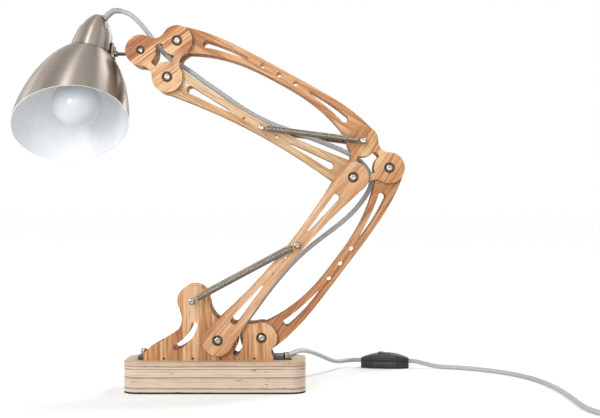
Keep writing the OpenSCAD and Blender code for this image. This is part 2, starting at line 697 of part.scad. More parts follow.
// The cord's way from the cap through the arms to the base, and from there to the switch
way = [
    [-123.5, -0.3, 433.2], [-118.6, -1, 436.9], [-111, -0.6, 437.4], [-99.5, 0, 432.6],
    [-88, 0, 422.4], [-78.5, 0, 411], [-68.5, 0, 397.4], [-60, 0, 387.6],
    [-50, 0, 379], [-38, 0, 371.8], [-26, 0, 364], [-14, 0, 354.8],
    [3, 0, 343.2], [28, 0, 325.8], [46, 0, 315], [64, 0, 306.3], [83, 0, 299.2], [103, 0, 292.2],
    [122, 0, 285], [141, 0, 277.3], [157, 0, 269.4], [168.5, 0, 261], [175.6, 0, 251.6],
    [178.8, 0, 243.2], [177.2, 0, 232.6], [170.5, 0, 220.4], [158, 0, 205],
    [142.5, 0, 191], [126, 0, 178.2], [109.5, 0, 165.5], [94, 0, 151.8],
    [80, 0, 137], [67, 0, 121.5], [54.5, 0, 105.5], [42.4, 0, 89], [34, 0, 76.6],
    [30, 0, 64.4], [32.4, 0, 52.4], [40.4, 0, 43.4], [51, 0, 39.3], [66, 0, 39],
    [75, 2.5, 39], [82.5, 10, 39], [87, 21, 39], [91, 35, 39], [95.5, 50, 38.6],
    [101, 67, 37], [107, 84, 34.2], [114, 101, 30.2], [122, 118, 25], [130, 134.5, 19.6],
    [137.5, 151, 14.8], [144, 167, 11.6], [151, 181, 10], [159.5, 192.5, 9.5], [168.5, 197.4, 9.5],
    [177, 196.4, 9.5]];
// The stretches' ends, counted in points of that way
at_knuckle = 5;
at_head = 8;
at_upper_arm = 11;
at_elbow = 22;
at_lower_arm = 30;
at_base = 40;
at_switch_end = len(way) - 1;
// From the switch to the outer turn of the coil, along the table
table_way = [
    [239, 187.6, 9.5], [248.5, 186.2, 8.7], [259, 184.4, 6.4], [270, 182.2, 4], [282, 178.8, 2.9],
    [298, 172.4, 2.8], [314, 162.8, 2.8], [330, 149.6, 2.8], [345, 133.6, 2.8], [358, 115.4, 2.8],
    [369, 94, 2.8], [378, 69, 2.8], [384.6, 40, 2.8], [389, 8, 2.8], [391.4, -25.5, 2.8],
    [392.3, -60, 2.8], [392, -93, 2.8], [391.6, -122, 2.8], [392.2, -145, 2.8], [394.4, -163, 2.8],
    [399, -178.2, 2.8], [406, -190.9, 2.8], [416.2, -202.2, 2.8], [430.2, -210, 2.8], [447, -212.7, 2.8]];
coil_at = [447, -170, 0];
coil_mid = 31;
coil_rows = 2;
module cord_at_cap() { cord_along(way, 0, at_knuckle, [0, 1, 0]); }
module cord_over_head() { cord_along(way, at_knuckle, at_head, [0, 1, 0]); }
module cord_in_head() { cord_along(way, at_head, at_upper_arm, [0, 1, 0]); }
module cord_in_upper_arm() { cord_along(way, at_upper_arm, at_elbow, [0, 1, 0]); }
module cord_in_elbow() { cord_along(way, at_elbow, at_lower_arm, [0, 1, 0]); }
module cord_in_base() { cord_along(way, at_lower_arm, at_base, [0, 1, 0]); }
module cord_to_switch() { cord_along(way, at_base, at_switch_end, [0, 0, 1]); }
module cord_from_switch() { cord_along(table_way, 0, len(table_way) - 1, [0, 0, 1]); }
module cord_coil() {
    color(cord_grey) translate(coil_at) rotate_extrude($fn = 96)
        translate([coil_mid - 1.5 * cord_d, 0]) square([3 * cord_d, coil_rows * cord_d]);
}

// ---- Switch and plug on the cord ----
switch_at = [208, 192, 0];
switch_aim = -8;
switch_h = 19;
split_h = 9.5;
rocker_l = 20;
rocker_w = 13;
module at_switch() { translate(switch_at) rotate([0, 0, switch_aim]) children(); }
// Plan of the switch: long sides that draw in towards the cord
module switch_plan(grow) {
    end_w = cord_d + 7;
    polygon([[-switch_l / 2 - grow, -end_w / 2 - grow], [-switch_l / 4, -switch_w / 2 - grow],
             [switch_l / 4, -switch_w / 2 - grow], [switch_l / 2 + grow, -end_w / 2 - grow],
             [switch_l / 2 + grow, end_w / 2 + grow], [switch_l / 4, switch_w / 2 + grow],
             [-switch_l / 4, switch_w / 2 + grow], [-switch_l / 2 - grow, end_w / 2 + grow]]);
}
// Arched side view of the switch
module arch() {
    arch_r = (pow(switch_l / 2, 2) + pow(6, 2)) / 12;
    rotate([90, 0, 0]) linear_extrude(2 * switch_w, center = true) intersection() {
        translate([0, switch_h - arch_r]) circle(arch_r, $fn = 180);
        translate([-switch_l, 0]) square([2 * switch_l, switch_h + 1]);
    }
}
module switch_base() {
    color("black") at_switch() difference() {
        linear_extrude(split_h - 0.1) switch_plan(0);
        translate([-rocker_l / 2 - 1, -rocker_w / 2 - 1, 3]) cube([rocker_l + 2, rocker_w + 2, 20]);
    }
}
module switch_cover() {
    color("black") at_switch() difference() {
        intersection() {
            translate([0, 0, split_h]) linear_extrude(switch_h) switch_plan(0);
            arch();
        }
        translate([-rocker_l / 2 - 0.5, -rocker_w / 2 - 0.5, split_h - 1]) cube([rocker_l + 1, rocker_w + 1, 20]);
        translate([0, 0, rocker_z]) across(rocker_pin + 0.2, -rocker_w / 2 - 3, rocker_w / 2 + 3);
    }
}
rocker_z = 13;
rocker_pin = 3;
module switch_rocker() {
    color("black") at_switch() translate([0, 0, rocker_z]) {
        across(rocker_pin, -rocker_w / 2 - 2.5, rocker_w / 2 + 2.5);
        rotate([0, 6, 0]) difference() {
            rotate([90, 0, 0]) linear_extrude(rocker_w, center = true)
                polygon([[-rocker_l / 2 + 1.4, -3], [rocker_l / 2 - 1.4, -3], [rocker_l / 2 - 0.6, 6.4],
                         [rocker_l / 4, 7.4], [-rocker_l / 4, 7.4], [-rocker_l / 2 + 0.6, 6.4]]);
            translate([0, 0, 24.6]) rotate([90, 0, 0]) cylinder(r = 18, h = 2 * rocker_w, center = true, $fn = 120);
        }
    }
}
// A flat two-pin plug lying beside the coil, its lead tangent to the coil's outer turn
plug_w = 35;
plug_t = 14;
lead_reach = 24;
lead_d = cord_d + 1;
plug_at = [coil_at[0] + coil_mid + 1.5 * cord_d + lead_d / 2 + 0.3, coil_at[1] + lead_reach, plug_t / 2];
module plug() {
    color("black") translate(plug_at) {
        translate([0, -lead_reach, 0]) rotate([-90, 0, 0]) cylinder(d1 = lead_d, d2 = 11, h = lead_reach + 1);
        intersection() {
            rotate([-90, 0, 0]) linear_extrude(34) union() {
                square([plug_w - plug_t, plug_t], center = true);
                for (s = [-1, 1]) translate([s * (plug_w - plug_t) / 2, 0]) circle(d = plug_t);
            }
            linear_extrude(plug_t, center = true)
                polygon([[-9, 0], [9, 0], [plug_w / 2, 18], [plug_w / 2, 34], [-plug_w / 2, 34],
                         [-plug_w / 2, 18]]);
        }
    }
    color(steel) translate(plug_at) for (s = [-1, 1]) translate([s * 9.3, 34, 0]) rotate([-90, 0, 0])
        cylinder(d = 4, h = 19);
}

base_pad();
base_lower_board();
base_upper_board();
base_bar();
base_bar_bolts();
base_bar_screws();
base_plate_front();
base_plate_rear();
base_pivot_bolts();
base_bushes();
base_washers();
lower_spring_posts();
lower_link_front();
lower_link_rear();
lower_spring_pins();
rear_link_front();
rear_link_rear();
elbow_plate_front();
elbow_plate_rear();
elbow_bolts();
elbow_bushes();
elbow_washers();
upper_spring_post();
upper_link_front();
upper_link_rear();
upper_spring_pins();
top_link_front();
top_link_rear();
head_plate_front();
head_plate_rear();
head_bolts();
head_bushes();
head_washers();
lower_spring_hooks();
lower_springs();
upper_spring_hooks();
upper_springs();
knuckle();
knuckle_stud();
shade_clip();
clip_screw();
shade();
shade_cap();
lamp_holder();
bulb_globe();
bulb_base();
cord_gland();
cord_at_cap();
cord_over_head();
cord_in_head();
cord_in_upper_arm();
cord_in_elbow();
cord_in_base();
cord_to_switch();
cord_from_switch();
cord_coil();
switch_base();
switch_cover();
switch_rocker();
plug();
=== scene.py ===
import math
from functools import partial

import bmesh
import bpy
from mathutils import Matrix, Vector


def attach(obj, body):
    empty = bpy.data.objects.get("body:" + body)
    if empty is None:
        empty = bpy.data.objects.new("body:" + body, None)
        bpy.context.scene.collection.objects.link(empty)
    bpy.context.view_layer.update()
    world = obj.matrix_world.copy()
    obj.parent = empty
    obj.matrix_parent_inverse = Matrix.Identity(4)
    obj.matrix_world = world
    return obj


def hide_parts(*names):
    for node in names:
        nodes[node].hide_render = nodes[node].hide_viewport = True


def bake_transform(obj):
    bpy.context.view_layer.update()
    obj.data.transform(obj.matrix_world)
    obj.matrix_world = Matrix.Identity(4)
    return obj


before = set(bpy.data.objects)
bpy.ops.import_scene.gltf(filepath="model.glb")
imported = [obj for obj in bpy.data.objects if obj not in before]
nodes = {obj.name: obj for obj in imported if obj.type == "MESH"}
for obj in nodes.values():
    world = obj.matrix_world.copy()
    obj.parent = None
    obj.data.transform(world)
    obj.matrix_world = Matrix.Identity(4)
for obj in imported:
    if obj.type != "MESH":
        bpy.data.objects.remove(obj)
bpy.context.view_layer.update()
scene = bpy.context.scene
show = scene.collection.objects.link
mm = 0.001
print("frame:", len(nodes), "CAD pieces")

# The camera stands level and looks straight at the lamp's front
view = {"place": (0.0966, -1.400, 0.208), "lens": 72.816, "sensor": 36.0}
cameraData = bpy.data.cameras.new("camera")
cameraData.lens = view["lens"]
cameraData.sensor_width = view["sensor"]
cameraData.clip_end = 60
camera = bpy.data.objects.new("camera", cameraData)
camera.location = view["place"]
camera.rotation_euler = (math.pi / 2, 0, 0)
show(camera)
scene.camera = camera
print("camera set")


def colour(code):
    parts = [int(code[i:i + 2], 16) / 255 for i in (1, 3, 5)]
    return [p / 12.92 if p <= 0.04045 else ((p + 0.055) / 1.055) ** 2.4 for p in parts] + [1.0]


# Adds a node with its settings; a node given as an input is linked from its first output
def addNode(tree, kind, inputs=None, stops=None, **settings):
    made = tree.nodes.new("ShaderNode" + kind)
    for name, value in settings.items():
        setattr(made, name, value)
    for name, value in (inputs or {}).items():
        if isinstance(value, bpy.types.Node):
            value = value.outputs[0]
        if isinstance(value, bpy.types.NodeSocket):
            tree.links.new(value, made.inputs[name])
        else:
            made.inputs[name].default_value = value
    if stops:
        elements = made.color_ramp.elements
        while len(elements) < len(stops):
            elements.new(1.0)
        for element, (place, code) in zip(elements, stops):
            element.position = place
            element.color = colour(code)
    return made


# An empty material with the given constants, the call that adds its nodes, and its shader
def newMaterial(name, **constants):
    made = bpy.data.materials.new(name)
    made.use_nodes = True
    shader = made.node_tree.nodes["Principled BSDF"]
    for key, value in constants.items():
        shader.inputs[key.replace("_", " ")].default_value = value
    return made, partial(addNode, made.node_tree), shader


# Gives a shader its colour, and its relief from a height; depth in mm
def cover(shader, tone, height, strength, depth=0.3):
    tree = shader.id_data
    relief = addNode(tree, "Bump", {"Height": height, "Strength": strength, "Distance": depth * mm})
    tree.links.new(tone, shader.inputs["Base Color"])
    tree.links.new(relief.outputs["Normal"], shader.inputs["Normal"])


# A pattern that is stretched or squeezed by its own scale, per metre, along each axis
def stretchedPattern(add, spot, scale, place=(0, 0, 0), **inputs):
    placed = add("Mapping", {"Vector": spot, "Scale": scale, "Location": place})
    return add("TexNoise", {"Vector": placed, "Scale": 1.0, **inputs})


def turnBy(degrees, axis):
    return Matrix.Rotation(math.radians(degrees), 4, axis)


def smoothStep(x):
    x = max(0.0, min(1.0, x))
    return x * x * (3 - 2 * x)


# An angle brought within half a turn of another
def nearAngle(angle, other):
    if angle - other > math.pi:
        angle -= 2 * math.pi
    if other - angle > math.pi:
        angle += 2 * math.pi
    return angle


# Turns a finished bmesh into an object on a CAD body; edges sharper than the crease angle stay crisp
def finishPiece(bm, name, body, materials, crease=35, replaced=()):
    for face in bm.faces:
        face.smooth = True
    for edge in bm.edges:
        if len(edge.link_faces) != 2 or edge.calc_face_angle(0) > math.radians(crease):
            edge.smooth = False
    mesh = bpy.data.meshes.new(name)
    bm.to_mesh(mesh)
    bm.free()
    for material in materials:
        mesh.materials.append(material)
    piece = bpy.data.objects.new(name, mesh)
    show(piece)
    if body:
        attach(piece, body)
    if replaced:
        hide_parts(*replaced)
    return piece


# Adds one bmesh to another and frees it
def join(whole, one):
    part = bpy.data.meshes.new("part")
    one.to_mesh(part)
    one.free()
    whole.from_mesh(part)
    bpy.data.meshes.remove(part)


# A profile turned once round Z: rows are (radius, height) in mm
def revolved(rows, steps):
    bm = bmesh.new()
    row = [bm.verts.new((r * mm, 0, z * mm)) for r, z in rows]
    lines = [bm.edges.new(pair) for pair in zip(row, row[1:])]
    bmesh.ops.spin(bm, geom=row + lines, cent=(0, 0, 0), axis=(0, 0, 1), angle=2 * math.pi, steps=steps,
                   use_merge=True)
    bmesh.ops.remove_doubles(bm, verts=bm.verts, dist=1e-6)
    return bm


# Adds a closed turned shape along the place's Z; rings whose radius lies in hexagon = (from, to)
# are drawn in to six flats
def turned(bm, rows, place, steps=36, hexagon=(0, 0)):
    one = revolved(rows, steps)
    for v in one.verts:
        if hexagon[0] * mm < v.co.xy.length < hexagon[1] * mm:
            turn = math.degrees(math.atan2(v.co.y, v.co.x)) % 60 - 30
            v.co.xy = v.co.xy * math.cos(math.radians(30)) / math.cos(math.radians(turn))
    bmesh.ops.recalc_face_normals(one, faces=one.faces)
    bmesh.ops.transform(one, matrix=place, verts=one.verts)
    join(bm, one)


# A copy of a CAD piece with eased edges: merged, its flats rejoined, then bevelled (width in mm)
def eased(name, node, body, material, width, sharp=28, keep=None):
    bm = bmesh.new()
    bm.from_mesh(nodes[node].data)
    bmesh.ops.remove_doubles(bm, verts=bm.verts, dist=2e-6)
    bmesh.ops.dissolve_limit(bm, angle_limit=math.radians(0.5), verts=bm.verts, edges=bm.edges)
    edges = [e for e in bm.edges if len(e.link_faces) == 2 and e.calc_face_angle(0) > math.radians(sharp)
             and (keep is None or keep(e))]
    bmesh.ops.bevel(bm, geom=edges, offset=width * mm, offset_type="OFFSET", segments=3, profile=0.5,
                    affect="EDGES", clamp_overlap=True, material=-1)
    return finishPiece(bm, name, body, [material], 19, (node,))


# Textile-covered round mains lead, from the shade's cap through the arms, the base and the switch
cord = {
    "diameter": 5.6 * mm,
    "length": 1.84,          # from the base to the plug's lead
    "sides": 16,
    "step": 3.0 * mm,        # distance between rings
    # middle of the cord from inside the cap's gland through the arms to the base, in mm
    "armWay": [
        (-127.6, 1.2, 429.1), (-123.5, -0.3, 432.9), (-118.6, -1, 435.9), (-111, -0.6, 436.4),
        (-99.5, 0, 432.6), (-88, 0, 422.4), (-78.5, 0, 411), (-68.5, 0, 397.4), (-60, 0, 387.6),
        (-50, 0, 379), (-38, 0, 371.8), (-26, 0, 364), (-14, 0, 354.8),
        (3, 0, 343.2), (28, 0, 325.8), (46, 0, 315), (64, 0, 306.3), (83, 0, 299.2),
        (103, 0, 292.2), (122, 0, 285), (141, 0, 277.3), (157, 0, 269.4), (168.5, 0, 261),
        (175.6, 0, 251.6), (178.8, 0, 243.2), (177.2, 0, 232.6), (170.5, 0, 220.4),
        (158, 0, 205), (142.5, 0, 191), (126, 0, 178.2), (109.5, 0, 165.5), (94, 0, 151.8),
        (80, 0, 137), (67, 0, 121.5), (54.5, 0, 105.5), (42.4, 0, 89), (34, 0, 76.6),
        (30, 0, 64.4), (32.4, 0, 52.4), (40.4, 0, 43.4), (51, 0, 39.3), (66, 0, 39)],
    # from the base over the board's edge and through the switch down to the table
    "downWay": [
        (75, 2.5, 39), (82.5, 10, 39), (87, 21, 39), (91, 35, 39), (95.5, 50, 38.6),
        (101, 67, 37), (107, 84, 34.2), (114, 101, 30.2), (122, 118, 25), (130, 134.5, 19.6),
        (137.5, 151, 14.8), (144, 167, 11.6), (151, 181, 10), (159.5, 192.5, 9.5),
        (168.5, 197.4, 9.5), (177, 196.4, 9.5), (192, 194.3, 9.5), (208, 192, 9.5),
        (223, 189.9, 9.5), (239, 187.6, 9.5), (248.5, 186.2, 8.7), (259, 184.4, 6.4),
        (270, 182.2, 4), (282, 178.8, 2.9)],
    # along the table to the coil: x, y
    "tableWay": [
        (298, 172.4), (314, 162.8), (330, 149.6), (345, 133.6), (358, 115.4), (369, 94), (378, 69),
        (384.6, 40), (389, 8), (391.4, -25.5), (392.3, -60), (392, -93), (391.6, -122),
        (392.2, -145), (394.4, -163), (399, -178.2), (406, -190.9), (416.2, -202.2), (430.2, -210)],
    "coilAt": (447, -170),
    "onTable": 2.84,         # height of the middle of a cord that lies on the table, in mm
    "coilTurn": 5.7,         # mm between neighbouring turns
    "coilOuter": 42.4,       # mm, where the lead-in touches the coil
    "coilEnd": 43,           # mm, where the coil ends at the plug
    "coilBelow": 3,          # turns that lie on the table
    "coilSweep": 1890,       # degrees in all
    "coilWidens": (270, 630),    # degrees into the upper turns
}


# The coil's middle line: three turns inward on the table, then two and a quarter outward on top of
# them, each change of radius or height made within a quarter turn
def coilWay():
    pitch, outer, sweep = cord["coilTurn"], cord["coilOuter"], cord["coilSweep"]
    below, quarter = 360 * cord["coilBelow"], 90
    points = []
    for swept in range(0, sweep + 1, 10):
        if swept < below:
            done, part = divmod(swept, 360)
            radius = outer - pitch * (done + smoothStep(part / quarter))
        else:
            radius = outer - cord["coilBelow"] * pitch
            radius += pitch * sum(smoothStep((swept - below - at) / quarter) for at in cord["coilWidens"])
            radius += (cord["coilEnd"] - radius) * smoothStep((swept - sweep + quarter) / quarter)
        height = cord["onTable"] + pitch * smoothStep((swept - below + quarter) / quarter)
        height -= 1.5 * smoothStep((swept - sweep + 30) / 30)        # down to the plug
        angle = math.radians(swept - quarter)
        points.append((cord["coilAt"][0] + radius * math.cos(angle),
                       cord["coilAt"][1] + radius * math.sin(angle), height))
    return points


# One smooth curve through the points, sampled at an even step; also gives each point's place along it
def smoothWay(points, step):
    pts = [Vector(p) * mm for p in points]
    pts = [2 * pts[0] - pts[1]] + pts + [2 * pts[-1] - pts[-2]]
    fine = []
    for a, b, c, d in zip(pts, pts[1:], pts[2:], pts[3:]):
        for k in range(8):
            t = k / 8
            fine.append(0.5 * (2 * b + (c - a) * t + (2 * a - 5 * b + 4 * c - d) * t * t
                               + (3 * b - a - 3 * c + d) * t ** 3))
    fine.append(pts[-2])
    lengths = [0.0]
    for a, b in zip(fine, fine[1:]):
        lengths.append(lengths[-1] + (b - a).length)
    marks = lengths[::8]
    count = round(lengths[-1] / step)
    even, at = [], 0
    for i in range(count + 1):
        want = lengths[-1] * i / count
        while at < len(fine) - 2 and lengths[at + 1] < want:
            at += 1
        share = (want - lengths[at]) / (lengths[at + 1] - lengths[at])
        even.append(fine[at].lerp(fine[at + 1], min(max(share, 0), 1)))
    return even, [round(m / lengths[-1] * count) for m in marks]


# Frames that follow a way without twisting
def framesAlong(way):
    frames, side = [], None
    for i, place in enumerate(way):
        heading = (way[min(i + 1, len(way) - 1)] - way[max(i - 1, 0)]).normalized()
        side = heading.orthogonal() if side is None else side - heading * side.dot(heading)
        side.normalize()
        up = heading.cross(side)
        placed = Matrix((side, up, heading)).transposed().to_4x4()
        placed.translation = place
        frames.append(placed)
    return frames


# A round tube through the frames, radii in metres, with its own UV: around it, and along it in girths
def tube(frames, radii, sides, start=0.0):
    bm = bmesh.new()
    uv = bm.loops.layers.uv.new("wrap")
    bmesh.ops.create_circle(bm, segments=sides, radius=radii[0], matrix=frames[0])
    edges = list(bm.edges)
    spots = {}
    for v in bm.verts:
        p = frames[0].inverted() @ v.co
        spots[v] = (math.atan2(p.y, p.x), start)
    along = start
    first = list(edges)
    for before, after, was, now in zip(frames, frames[1:], radii, radii[1:]):
        grown = bmesh.ops.extrude_edge_only(bm, edges=edges)["geom"]
        verts = [g for g in grown if isinstance(g, bmesh.types.BMVert)]
        edges = [g for g in grown if isinstance(g, bmesh.types.BMEdge)]
        bmesh.ops.transform(bm, verts=verts, matrix=after @ Matrix.Scale(now / was, 4)
                            @ before.inverted())
        along += (after.translation - before.translation).length
        back = after.inverted()
        for v in verts:
            p = back @ v.co
            spots[v] = (math.atan2(p.y, p.x), along)
    for ends in (first, edges):
        bmesh.ops.contextual_create(bm, geom=ends)
    bmesh.ops.recalc_face_normals(bm, faces=bm.faces)
    girth = 2 * math.pi * radii[0]
    for face in bm.faces:
        base = spots[face.verts[0]][0]
        for loop in face.loops:
            around, run = spots[loop.vert]
            loop[uv].uv = (nearAngle(around, base) / (2 * math.pi), run / girth)
    return bm


# Woven polyester sleeve over a round lead: close, soft sheen, crossing threads, with painted shade
# in the valleys between them. Real threads are 0.5 mm wide; they are drawn 1.2 mm wide so that they
# show.
def cordMaterial():
    made, add, shader = newMaterial("polyesterSleeveWoven", Roughness=0.5)
    uv = add("UVMap", uv_map="wrap")
    parts = add("SeparateXYZ", {"Vector": uv})
    threads = 14                     # threads each way round the cord
    around, along = (add("Math", {0: parts.outputs[way], 1: threads * math.pi}, operation="MULTIPLY")
                     for way in "XY")
    slants = [add("Math", {0: around, 1: along}, operation=kind) for kind in ("ADD", "SUBTRACT")]
    left, right = (add("Math", {0: slant}, operation="SINE") for slant in slants)
    weave = add("Math", {0: left, 1: right}, operation="MULTIPLY")
    height = add("Math", {0: weave, 1: 0.5, 2: 0.5}, operation="MULTIPLY_ADD")
    fuzz = add("TexNoise", {"Vector": uv, "Scale": 60.0, "Detail": 3.0})
    mixed = add("Math", {0: fuzz, 1: 0.5, 2: height}, operation="MULTIPLY_ADD")
    # colour follows the threads' height: painted shade in the valleys, random fuzz on top
    ramp = add("ValToRGB", {"Fac": mixed}, stops=[(0.1, "#868788"), (0.6, "#aaabac"), (1.0, "#c2c3c4")])
    cover(shader, ramp.outputs["Color"], height, 0.22)
    return made


cordCover = cordMaterial()
armWay, armMarks = smoothWay(cord["armWay"], cord["step"])
armFrames = framesAlong(armWay)
# Each stretch: its points in armWay, the bodies at its two ends, where it passes from the one to the
# other, start and end, and the CAD node it stands for
stretches = {
    "cordAtCap": (0, 6, "shade", "knuckle", (-119, 0, 437), (-86, 0, 420), "cord_at_cap"),
    "cordOverHead": (6, 9, "knuckle", "head", (-77, 0, 409), (-52, 0, 381), "cord_over_head"),
    "cordInHead": (9, 12, "head", "upper_arm_link", (-48, 0, 378), (-17, 0, 357), "cord_in_head"),
    "cordInUpperArm": (12, 23, "upper_arm_link", "elbow", (112, 0, 289), (173, 0, 255),
                       "cord_in_upper_arm"),
    "cordInElbow": (23, 31, "elbow", "lower_arm_link", (177, 0, 238), (146, 0, 194), "cord_in_elbow"),
    "cordInBase": (31, 41, "lower_arm_link", "base", (84, 0, 141), (34, 0, 54), "cord_in_base"),
}
for name, (first, last, bodyA, bodyB, bendStart, bendEnd, cadNode) in stretches.items():
    part = slice(armMarks[first], armMarks[last] + 1)
    stretch = armWay[part]
    bm = tube(armFrames[part], [cord["diameter"] / 2] * len(stretch), cord["sides"],
              armMarks[first] * cord["step"])
    piece = finishPiece(bm, name, None, [cordCover], 60, (cadNode,))
    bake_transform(piece)

tableWay = [(x, y, cord["onTable"]) for x, y in cord["tableWay"]]
freeWay, _ = smoothWay([cord["armWay"][-1]] + cord["downWay"] + tableWay + coilWay(), cord["step"])
bm = tube(framesAlong(freeWay), [cord["diameter"] / 2] * len(freeWay), cord["sides"])
freeCord = finishPiece(bm, "mainsCord", "base", [cordCover], 60,
                       ("cord_to_switch", "cord_from_switch", "cord_coil"))
print("cords made, free length", round(sum((b - a).length for a, b in zip(freeWay, freeWay[1:])), 3))

# Ribbed, tapered strain relief of soft PVC round the cord where it leaves the cap, and its collar
sleeve = {"length": 20, "thick": 3.8, "thin": 2.95, "rib": 0.12, "tone": ("#999997", "#a6a6a3")}


# Even materials that are speckled rather than flat; speckle size in mm
def evenMaterial(name, tones, roughness, speckle, bump, **constants):
    made, add, shader = newMaterial(name, **constants)
    spot = add("TexCoord")
    grain = add("TexNoise", {"Vector": spot.outputs["Object"], "Scale": 1000 / speckle, "Detail": 3.0})
    ramp = add("ValToRGB", {"Fac": grain}, stops=[(0.3, tones[0]), (0.7, tones[1])])
    rough = add("MapRange", {"Value": grain, "To Min": roughness[0], "To Max": roughness[1]})
    made.node_tree.links.new(rough.outputs["Result"], shader.inputs["Roughness"])
    cover(shader, ramp.outputs["Color"], grain, bump, 0.2)
    return made


# nickel-plated steel: bright, a little uneven from the plating bath
platedSteel = evenMaterial("steelNickelPlated", ("#7f7b75", "#9b968f"), (0.12, 0.26), 2.0, 0.05,
                           Metallic=1.0)
# oil-tempered spring wire: darker, drawn, satin
springSteel = evenMaterial("springSteelOilTempered", ("#7d756b", "#9e968b"), (0.22, 0.34), 1.5, 0.05,
                           Metallic=1.0)
# powder-coated steel: black with an orange-peel skin of about 1 mm
blackSteel = evenMaterial("steelPowderCoated", ("#1b1b1c", "#262627"), (0.38, 0.5), 1.2, 0.15)
# black-oxide steel of the small screws, and the same rubbed bare on the stud and clip
blackOxide = evenMaterial("steelBlackOxide", ("#2f2c29", "#4a443e"), (0.26, 0.4), 1.0, 0.1, Metallic=0.9)
rubbedOxide = evenMaterial("steelBlackOxideRubbed", ("#4b443d", "#7d736a"), (0.24, 0.4), 1.6, 0.1,
                           Metallic=1.0)
# moulded ABS with a fine spark-eroded grain, drawn at 0.8 mm
blackPlastic = evenMaterial("absSparkEroded", ("#17181a", "#222326"), (0.36, 0.5), 0.8, 0.22)
# cellular rubber pad
padRubber = evenMaterial("rubberCellular", ("#19191a", "#262627"), (0.75, 0.9), 1.5, 0.4)
# white glass-filled polyester of the lamp holder, moulded
holderPlastic = evenMaterial("polyesterMouldedWhite", ("#e2e1dc", "#ecebe7"), (0.35, 0.45), 3.0, 0.05)
# soft PVC of the strain relief, moulded, slightly greasy
sleevePlastic = evenMaterial("pvcSoftMoulded", sleeve["tone"], (0.45, 0.6), 1.0, 0.1)

sleeveWay, _ = smoothWay(cord["armWay"][:7], 1.0 * mm)
sleeveWay = sleeveWay[2:sleeve["length"] + 3]
radii = []
for i in range(len(sleeveWay)):
    taper = sleeve["thick"] + (sleeve["thin"] - sleeve["thick"]) * i / (len(sleeveWay) - 1)
    radii.append((taper + (sleeve["rib"] if i % 3 == 0 else -sleeve["rib"] / 2)) * mm)
bm = tube(framesAlong(sleeveWay), radii, 24)
strainRelief = finishPiece(bm, "strainRelief", None, [sleevePlastic], 60)
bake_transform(strainRelief)
print("strain relief made")

# Laser-cut solid bamboo board: strips glued side by side, fine straight fibres, satin oil; the laser
# leaves the cut edges scorched brown, and the counterbores' floors get the same brown, partly real
# scorch and partly painted shade in the recess. Fibres are 0.3 mm wide and are drawn near 1.2 mm.
# "grain" is the fibres' direction in degrees above X, "sunk" the depth of the counterbores' floors;
# "patches" are paler or, below zero, darker areas: (x, z), radius in mm, amount.
woods = {
    "basePlates": {"stem": "base_plate", "grain": 90, "strip": 9.0,
                   "tones": ["#91562e", "#bb8351", "#d8b289"], "contrast": 0.85, "sunk": 20.6,
                   "patches": [((-25, 108), 36, 0.12), ((50, 80), 22, 0.12)]},
    "lowerLinks": {"stem": "lower_link", "grain": 50.3, "strip": 12.0,
                   "tones": ["#a0673c", "#c69469", "#dbbe9b"], "contrast": 0.55, "sunk": 27.1,
                   "patches": [((150, 236), 50, -0.03), ((5, 62), 50, -0.07)]},
    "upperLinks": {"stem": "upper_link", "grain": 151.6, "strip": 12.0,
                   "tones": ["#a77545", "#c8a176", "#dcc5a4"], "contrast": 0.55, "sunk": 99,
                   "patches": [((-30, 345), 60, 0.04), ((150, 247), 60, -0.05)]},
    "rearLinks": {"stem": "rear_link", "grain": 53.0, "strip": 14.0,
                  "tones": ["#8a502b", "#c0895b", "#d7b188"], "contrast": 0.8, "sunk": 99,
                  "patches": [((165, 175), 60, 0.05)]},
    "topLinks": {"stem": "top_link", "grain": 151.6, "strip": 16.0,
                 "tones": ["#a4693b", "#cc986a", "#ddba95"], "contrast": 0.6, "sunk": 99,
                 "patches": [((50, 372), 70, 0.04), ((-30, 392), 34, -0.12)]},
    "elbowPlates": {"stem": "elbow_plate", "grain": 58.0, "strip": 18.0,
                    "tones": ["#8c4c25", "#b97e4c", "#d8b284"], "contrast": 0.6, "sunk": 20.6,
                    "patches": [((200, 255), 34, 0.15), ((181, 272), 16, 0.1), ((166, 292), 22, -0.01)]},
    "headPlates": {"stem": "head_plate", "grain": 36.0, "strip": 20.0,
                   "tones": ["#7d421f", "#af7143", "#dab284"], "contrast": 0.7, "sunk": 20.6,
                   "patches": [((-50, 362), 34, 0.16), ((-86, 388), 26, 0.0)]},
}


